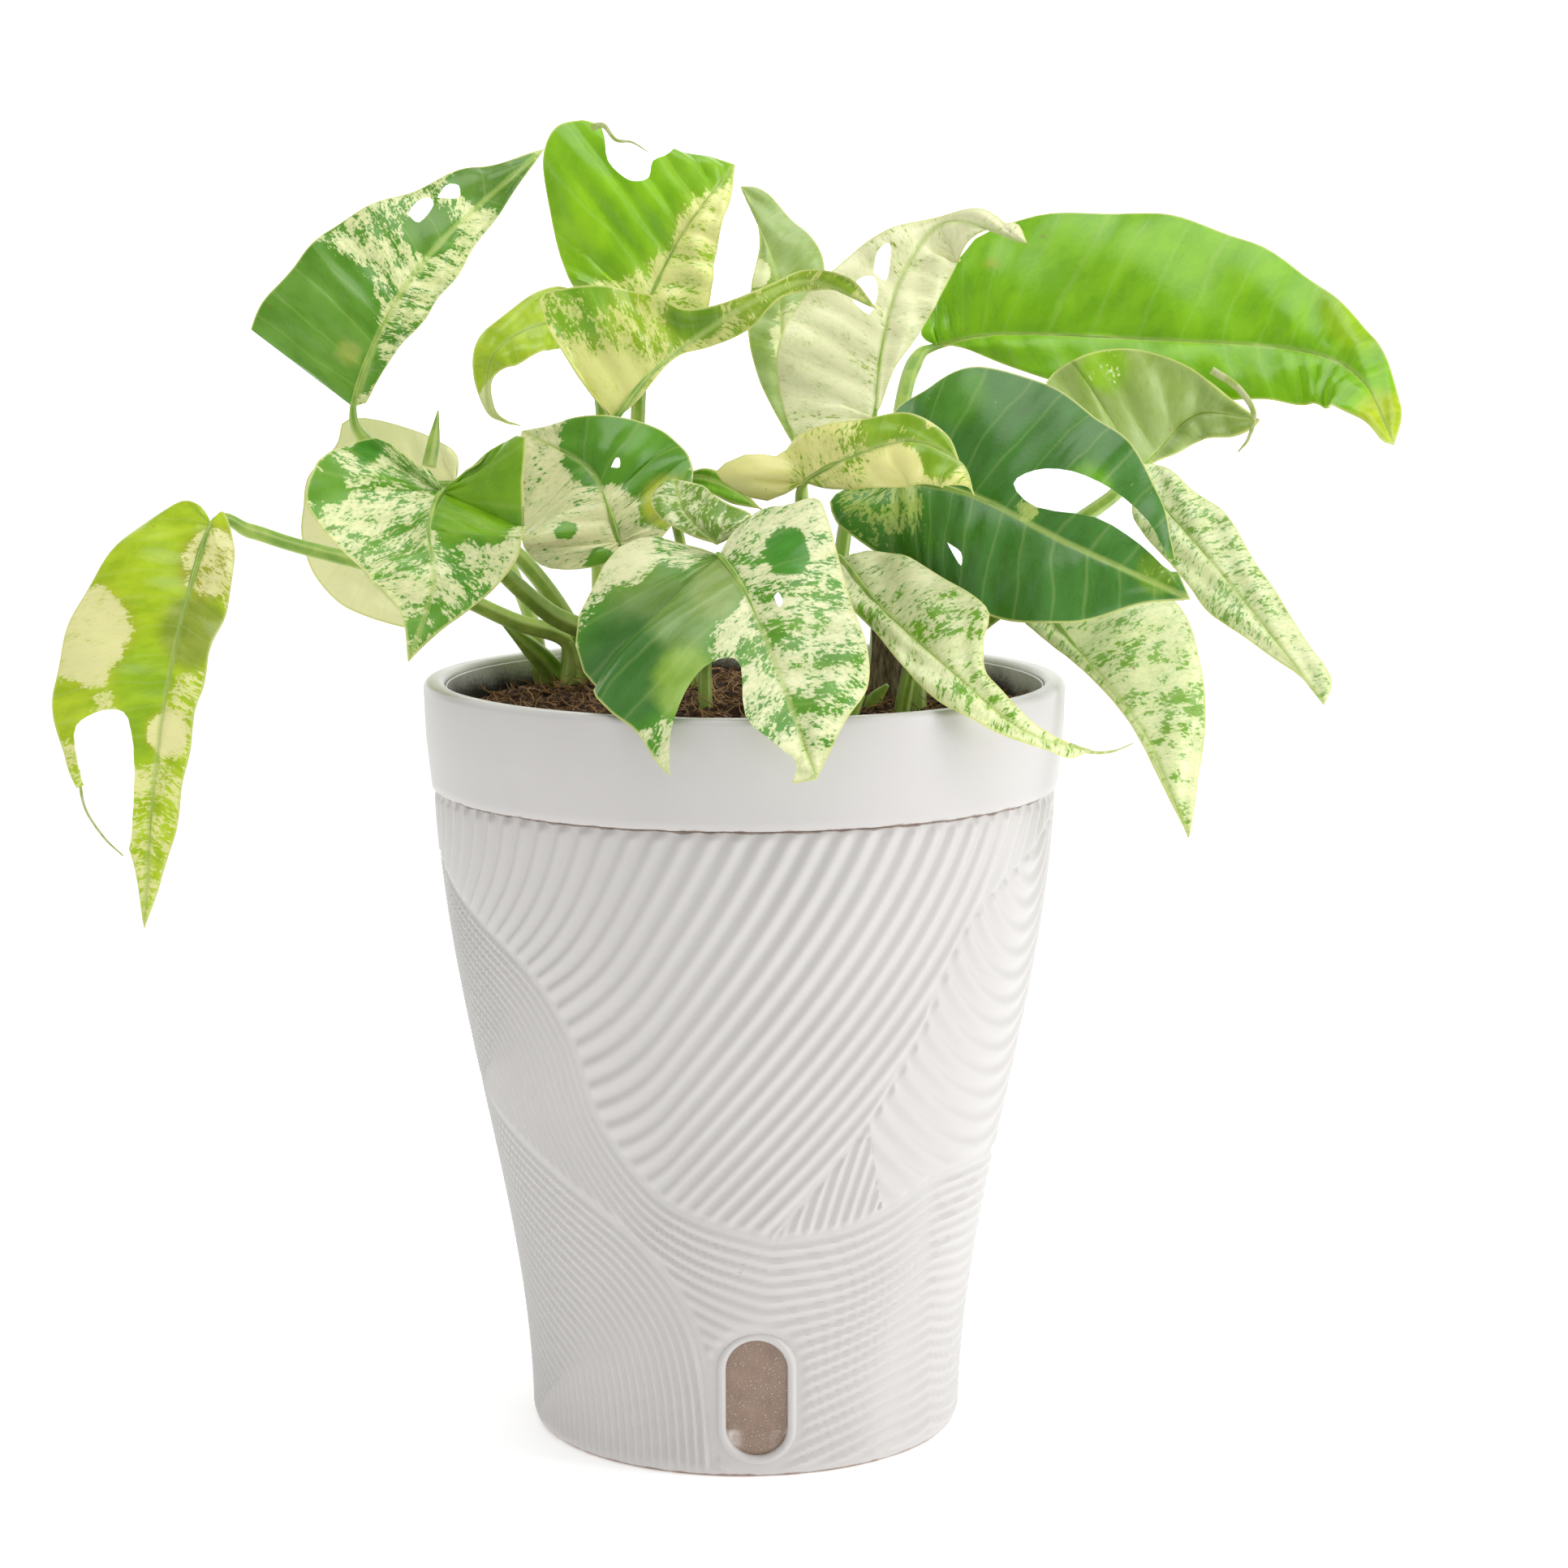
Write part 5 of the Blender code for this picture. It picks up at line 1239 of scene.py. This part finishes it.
def makeLiner(materials):
    # The painted collar over the wall, and the black basket with its drain holes and slotted wicking cup.
    skirt = seamHeight + gap
    lip = liner["lip"]
    inside = rimInnerRadius + 0.1
    profile = arc((rimRadius - lip, potHeight - lip), lip, 0, 90)
    profile += arc((inside + lip, potHeight - lip), lip, 90, 180)
    profile += [(inside - 0.1, 172), (inside - 0.9, 168), (inside - 1.2, 164), (inside + 0.6, 160)]
    profile += [(70.4, skirt + 0.3), (70.7, skirt), (rimRadius - 1.9, skirt),
                (rimRadius - 1.6, skirt + 0.3)]
    profile += [(rimRadius - 1.6 + 1.2 * k / 6, skirt + 0.3 + (165 - skirt) * k / 6) for k in range(1, 7)]
    profile += [(rimRadius - 0.2, 170), profile[0]]
    collar = turnedMesh("collar", profile, liner["collarSteps"])
    finishPiece("collar", collar, materials["painted_shell"], "planter", ["inner_pot"], 60)

    inner = [(rimInnerRadius - 0.05, 176.6), (rimInnerRadius - 0.35, 176.4), (rimInnerRadius - 1.4, 168),
             (rimInnerRadius - 2, 160), (basketRadius(150) - linerWall, 150)]
    walls = [(basketRadius(h) - linerWall, h) for h in (132, 115, 98, 80, 64)]
    low = basketRadius(basketFloor)
    floor = [(low - linerWall, basketFloor + linerWall), (cupRadius - linerWall, basketFloor + linerWall),
             (cupRadius - 1 - linerWall, cupFloor + linerWall), (0.01, cupFloor + linerWall),
             (0.01, cupFloor), (cupRadius - 1.4, cupFloor), (cupRadius - 1, cupFloor + 0.4),
             (cupRadius, basketFloor)]
    outside = [(low - 0.5, basketFloor), (low, basketFloor + 0.5)]
    outside += [(basketRadius(h), h) for h in (64, 80, 98, 115, 132, 150)]
    outside += [(69.6, skirt), (69.6, 160), (rimInnerRadius - 0.9, 168), (rimInnerRadius - 0.02, 174)]
    basket = turnedMesh("basket", [*inner, *walls, *floor, *outside, inner[0]], liner["basketSteps"])
    cutters = []
    for k in range(liner["drains"]):
        angle = math.radians(360 / liner["drains"] * k)
        away = liner["drainCircle"]
        put = Matrix.Translation((away * math.cos(angle), away * math.sin(angle), basketFloor))
        cutters.append(rodMesh(liner["drainRadius"], liner["drainCut"], put))
    for k in range(liner["slots"]):
        angle = math.radians(360 / liner["slots"] * k + 45)
        put = Matrix.Translation((cupRadius * math.cos(angle), cupRadius * math.sin(angle),
                                  liner["slotHeight"]))
        put = put @ Matrix.Rotation(angle, 4, "Z") @ Matrix.Rotation(math.pi / 2, 4, "Y")
        put = put @ Matrix.Scale(liner["slotStretch"], 4, Vector((1, 0, 0)))
        cutters.append(rodMesh(liner["slotRadius"], liner["slotCut"], put))
    basket = cutWith(basket, cutters)
    finishPiece("basket", basket, materials["liner"], "planter", ["inner_pot"], 40)
    print("liner made")


def rodMesh(radius, length, put, sides=24):
    angles = np.arange(sides) * 2 * math.pi / sides
    ends = (-length / 2, length / 2)
    points = [put @ Vector((radius * math.cos(a), radius * math.sin(a), z)) for z in ends for a in angles]
    return meshFrom("rod", points, prismFaces(sides))


mix = {"radius": 67.9, "rings": 84, "steps": 200, "waves": 26, "waveLengths": (3.5, 15), "lump": 0.26,
       "mound": 2.4, "fall": 1.4, "edgeFall": 1.6, "edgeFrom": 55, "edgeTo": 68, "seed": 11, "strands": 6,
       "fibres": 0.16, "strandStep": 1.5, "crumbs": 0.26, "crumbRadius": 0.75}


def mixTop(radius, angle, waves):
    # The height of the mix: a slight mound with lumps of coir all over it.
    x, y = radius * np.cos(angle), radius * np.sin(angle)
    height = soilHeight + mix["mound"] - mix["fall"] * (radius / mix["edgeFrom"]) ** 2
    height = height - mix["edgeFall"] * smoothStep(mix["edgeFrom"], mix["edgeTo"], radius)
    for frequencyX, frequencyY, phase in waves:
        height = height + mix["lump"] * np.sin(frequencyX * x + frequencyY * y + phase)
    return height


def makeFibreMaterial():
    # Coconut fibre and bark crumbs: each strand has its own brown, from dark to straw, and a faint dry
    # sheen.
    material, tree, shader = newMaterial("coconut fibre strands, dry")
    tint = addNode(tree, "ShaderNodeAttribute", attribute_name="tint").outputs["Fac"]
    place = addNode(tree, "ShaderNodeTexCoord").outputs["Object"]
    mottle = addNode(tree, "ShaderNodeTexNoise", {"Vector": place, "Scale": 1 / (1 * mm),
                     "Detail": 3}).outputs["Fac"]
    dark = addNode(tree, "ShaderNodeMix", {0: mottle, 6: hexToLinear("#2a180e"), 7: hexToLinear("#5a3a22")},
                   data_type="RGBA").outputs[2]
    tone = addNode(tree, "ShaderNodeMix", {0: tint, 6: dark, 7: hexToLinear("#b98c5a")},
                   data_type="RGBA").outputs[2]
    tree.links.new(tone, shader.inputs["Base Color"])
    shader.inputs["Roughness"].default_value = 0.7
    return material


def strandMesh(seed):
    # One curly strand of coir, a few millimetres long, with a three-sided section.
    own = np.random.default_rng(seed)
    route = [np.zeros(3)]
    heading = own.uniform(0, 2 * math.pi)
    for _ in range(4):
        heading += own.uniform(-1.1, 1.1)
        lift = own.uniform(-0.25, 0.55)
        route.append(route[-1] + mix["strandStep"] * np.array([math.cos(heading), math.sin(heading), lift]))
    return tubeMesh("strand", route, (0.13, 0.13, 0.12, 0.1, 0.05), 7, sides=3)


def crumbMesh(seed):
    own = np.random.default_rng(seed)
    bm = bmesh.new()
    bmesh.ops.create_icosphere(bm, subdivisions=1, radius=mix["crumbRadius"] * mm)
    for vert in bm.verts:
        vert.co *= own.uniform(0.65, 1.3)
        vert.co.z *= 0.7
    mesh = bpy.data.meshes.new("crumb")
    bm.to_mesh(mesh)
    bm.free()
    return mesh


def scatterTree(name):
    # A node tree that scatters a collection's shapes over a surface, each turned, sized and tinted at
    # random.
    tree = bpy.data.node_groups.new(name, "GeometryNodeTree")
    sockets = {}
    for label, kind in (("Surface", "NodeSocketGeometry"), ("Shapes", "NodeSocketCollection"),
                        ("Per square millimetre", "NodeSocketFloat"), ("Smallest", "NodeSocketFloat"),
                        ("Largest", "NodeSocketFloat"), ("Brightest", "NodeSocketFloat"),
                        ("Seed", "NodeSocketInt"), ("Material", "NodeSocketMaterial")):
        sockets[label] = tree.interface.new_socket(label, in_out="INPUT", socket_type=kind).identifier
    tree.interface.new_socket("Scattered", in_out="OUTPUT", socket_type="NodeSocketGeometry")
    given = addNode(tree, "NodeGroupInput").outputs
    density = addNode(tree, "ShaderNodeMath", {0: given["Per square millimetre"], 1: 1 / mm**2},
                      operation="MULTIPLY").outputs[0]
    scattered = addNode(tree, "GeometryNodeDistributePointsOnFaces", {"Mesh": given["Surface"],
                        "Density": density, "Seed": given["Seed"]})
    shapes = addNode(tree, "GeometryNodeCollectionInfo", {"Collection": given["Shapes"],
                     "Separate Children": True, "Reset Children": True})
    turn = addNode(tree, "FunctionNodeRandomValue", {"Min": (-0.5, -0.5, 0), "Max": (0.5, 0.5, 6.283),
                   "Seed": given["Seed"]}, data_type="FLOAT_VECTOR").outputs[0]
    size = addNode(tree, "FunctionNodeRandomValue", {2: given["Smallest"], 3: given["Largest"],
                   "Seed": given["Seed"]}, data_type="FLOAT").outputs[1]
    placed = addNode(tree, "GeometryNodeInstanceOnPoints", {"Points": scattered.outputs["Points"],
                     "Instance": shapes.outputs[0], "Pick Instance": True, "Rotation": turn, "Scale": size})
    tint = addNode(tree, "FunctionNodeRandomValue", {2: 0.0, 3: given["Brightest"], "Seed": given["Seed"]},
                   data_type="FLOAT").outputs[1]
    tinted = addNode(tree, "GeometryNodeStoreNamedAttribute", {"Geometry": placed.outputs[0],
                     "Name": "tint", "Value": tint}, data_type="FLOAT", domain="INSTANCE")
    real = addNode(tree, "GeometryNodeRealizeInstances", {0: tinted.outputs[0]})
    painted = addNode(tree, "GeometryNodeSetMaterial", {"Geometry": real.outputs[0],
                      "Material": given["Material"]})
    addNode(tree, "NodeGroupOutput", {0: painted.outputs[0]})
    return tree, sockets


def scatter(name, surface, shapeMeshes, settings, material):
    # Runs the scatter tree over a mesh and returns the result as a plain mesh.
    tree, sockets = scatterTree(name)
    shapes = bpy.data.collections.new(name + " shapes")
    sources = [bpy.data.objects.new(f"{name} {k}", mesh) for k, mesh in enumerate(shapeMeshes)]
    for source in sources:
        shapes.objects.link(source)
    carrier = addObject(name, surface)
    modifier = carrier.modifiers.new("scatter", "NODES")
    modifier.node_group = tree
    for label, value in {**settings, "Shapes": shapes, "Material": material}.items():
        modifier[sockets[label]] = value
    result = applied(carrier)
    for source in sources:
        bpy.data.objects.remove(source, do_unlink=True)
    return result


def makeMix(materials):
    angles = 2 * math.pi * np.arange(mix["steps"]) / mix["steps"]
    wavelengths = random.uniform(*mix["waveLengths"], mix["waves"])
    headings = random.uniform(0, 2 * math.pi, mix["waves"])
    waves = [(2 * math.pi / w * math.cos(h), 2 * math.pi / w * math.sin(h), h * 7) for w,
             h in zip(wavelengths, headings)]
    rings = []
    for k in range(mix["rings"] + 1):
        radius = max(mix["radius"] * k / mix["rings"], 0.01)
        rings.append(np.column_stack([radius * np.cos(angles), radius * np.sin(angles),
                                      mixTop(radius, angles, waves)]))
    clear = linerWall + gap
    sides = [(67.3, 160)] + [(basketRadius(h) - clear, h + clear) for h in (150, 132, 115, 98, 80, 64,
                                                                            basketFloor)]
    sides += [(cupRadius - clear, basketFloor + clear), (cupRadius - 1 - clear, cupFloor + clear),
              (0.01, cupFloor + clear)]
    for radius, height in sides:
        rings.append(np.column_stack([radius * np.cos(angles), radius * np.sin(angles),
                                      0 * angles + height]))
    block = meshFrom("mix_block", np.vstack(rings), gridFaces(len(rings), mix["steps"], wrap=True))
    finishPiece("mix_block", block, materials["mix"], "planter", ["potting_mix"], 60)

    def top(name):
        return meshFrom(name, np.vstack(rings[:mix["rings"] - 1]), gridFaces(mix["rings"] - 1, mix["steps"],
                                                                             wrap=True))

    strands = [strandMesh(seed) for seed in range(mix["strands"])]
    fibres = scatter("coir_strands", top("coir_surface"), strands, {"Per square millimetre": mix["fibres"],
                                                                    "Smallest": 0.5, "Largest": 1.5,
                                                                    "Brightest": 0.9, "Seed": mix["seed"]},
                     materials["fibre"])
    finishPiece("coir_strands", fibres, materials["fibre"], "planter")
    crumbs = [crumbMesh(seed) for seed in range(mix["strands"])]
    bits = scatter("coir_crumbs", top("crumb_surface"), crumbs, {"Per square millimetre": mix["crumbs"],
                                                                 "Smallest": 0.4, "Largest": 1.5,
                                                                 "Brightest": 0.3, "Seed": mix["seed"] + 1},
                   materials["fibre"])
    finishPiece("coir_crumbs", bits, materials["fibre"], "planter")
    print("potting mix made:", len(fibres.polygons) + len(bits.polygons), "faces")


stage = {
    "reach": 4, "floorGlow": 0.35, "panelGlow": 0.9, "worldStrength": 0.42, "aim": (0, 0, 0.17),
    "lens": 85, "sensor": 36, "eye": (9.2, -861.5, 286.6), "downwards": 8.85,
    "lights": {
        "right softbox": {"place": (1.15, -0.35, 0.5), "size": (0.5, 1.2), "power": 7.5},
        "left softbox": {"place": (-0.85, -0.7, 0.5), "size": (0.2, 1.2), "power": 0.6},
        "top softbox": {"place": (0.1, -0.1, 1.4), "size": (1.0, 1.0), "power": 8},
    },
}


def makeBoard(name, corners, material):
    mesh = bpy.data.meshes.new(name)
    mesh.from_pydata(corners, [], [(0, 1, 2, 3)])
    mesh.materials.append(material)
    addObject(name, mesh)


def makeStage():
    # A plain white floor, soft lights and the camera. None of it belongs to the object.
    far = stage["reach"]
    material, tree, shader = newMaterial("matt white backdrop board")
    place = addNode(tree, "ShaderNodeTexCoord").outputs["Object"]
    grain = addNode(tree, "ShaderNodeTexNoise", {"Vector": place, "Scale": 40, "Detail": 2}).outputs["Fac"]
    tone = addNode(tree, "ShaderNodeMix", {0: grain, 6: hexToLinear("#fbfbfb"), 7: hexToLinear("#ffffff")},
                   data_type="RGBA").outputs[2]
    tree.links.new(tone, shader.inputs["Base Color"])
    shader.inputs["Roughness"].default_value = 0.9
    shader.inputs["Emission Color"].default_value = (1, 1, 1, 1)
    shader.inputs["Emission Strength"].default_value = stage["floorGlow"]
    makeBoard("floor", [(-far, -far, 0), (far, -far, 0), (far, far, 0), (-far, far, 0)], material)

    # a lit white panel far behind the pot
    panel, tree, shader = newMaterial("lit backdrop panel")
    shader.inputs["Base Color"].default_value = hexToLinear("#ffffff")
    shader.inputs["Emission Color"].default_value = (1, 1, 1, 1)
    shader.inputs["Emission Strength"].default_value = stage["panelGlow"]
    makeBoard("backdrop", [(-far, far, 0), (far, far, 0), (far, far, far), (-far, far, far)], panel)

    world = bpy.data.worlds.new("white studio")
    scene.world = world
    world.use_nodes = True
    sky = world.node_tree.nodes["Background"].inputs
    sky["Color"].default_value = (1, 1, 1, 1)
    sky["Strength"].default_value = stage["worldStrength"]

    for name, setting in stage["lights"].items():
        light = bpy.data.lights.new(name, "AREA")
        light.shape = "RECTANGLE"
        light.size, light.size_y = setting["size"]
        light.energy = setting["power"]
        lamp = addObject(name, light)
        lamp.location = setting["place"]
        lamp.rotation_euler = (Vector(stage["aim"]) - lamp.location).to_track_quat("-Z", "Y").to_euler()

    camera = addObject("camera", bpy.data.cameras.new("camera"))
    camera.data.lens = stage["lens"]
    camera.data.sensor_width = stage["sensor"]
    camera.location = [value * mm for value in stage["eye"]]
    camera.rotation_euler = (math.pi / 2 - math.radians(stage["downwards"]), 0, 0)
    scene.camera = camera
    scene.view_settings.view_transform = "Standard"
    print("stage set")


materials = {
    "painted_shell": makePaintMaterial(),
    "liner": makeLinerMaterial(),
    "window": makeLensMaterial(),
    "mix": mottledMaterial("coir and peat potting mix, moist", moistMix),
    "fibre": makeFibreMaterial(),
    "leaf": makeLeafMaterial(),
    "stalk": makeStalkMaterial(),
    "bark": mottledMaterial("old stem bark, dry and fibrous", bark),
    "dry": mottledMaterial("withered leaf tip, dry tissue", dryTip),
}
makeBlades(materials["leaf"])
makeStalks(materials["stalk"])
makeShoots(materials)
makeOuterPot(materials)
makeLiner(materials)
makeMix(materials)
makeStage()
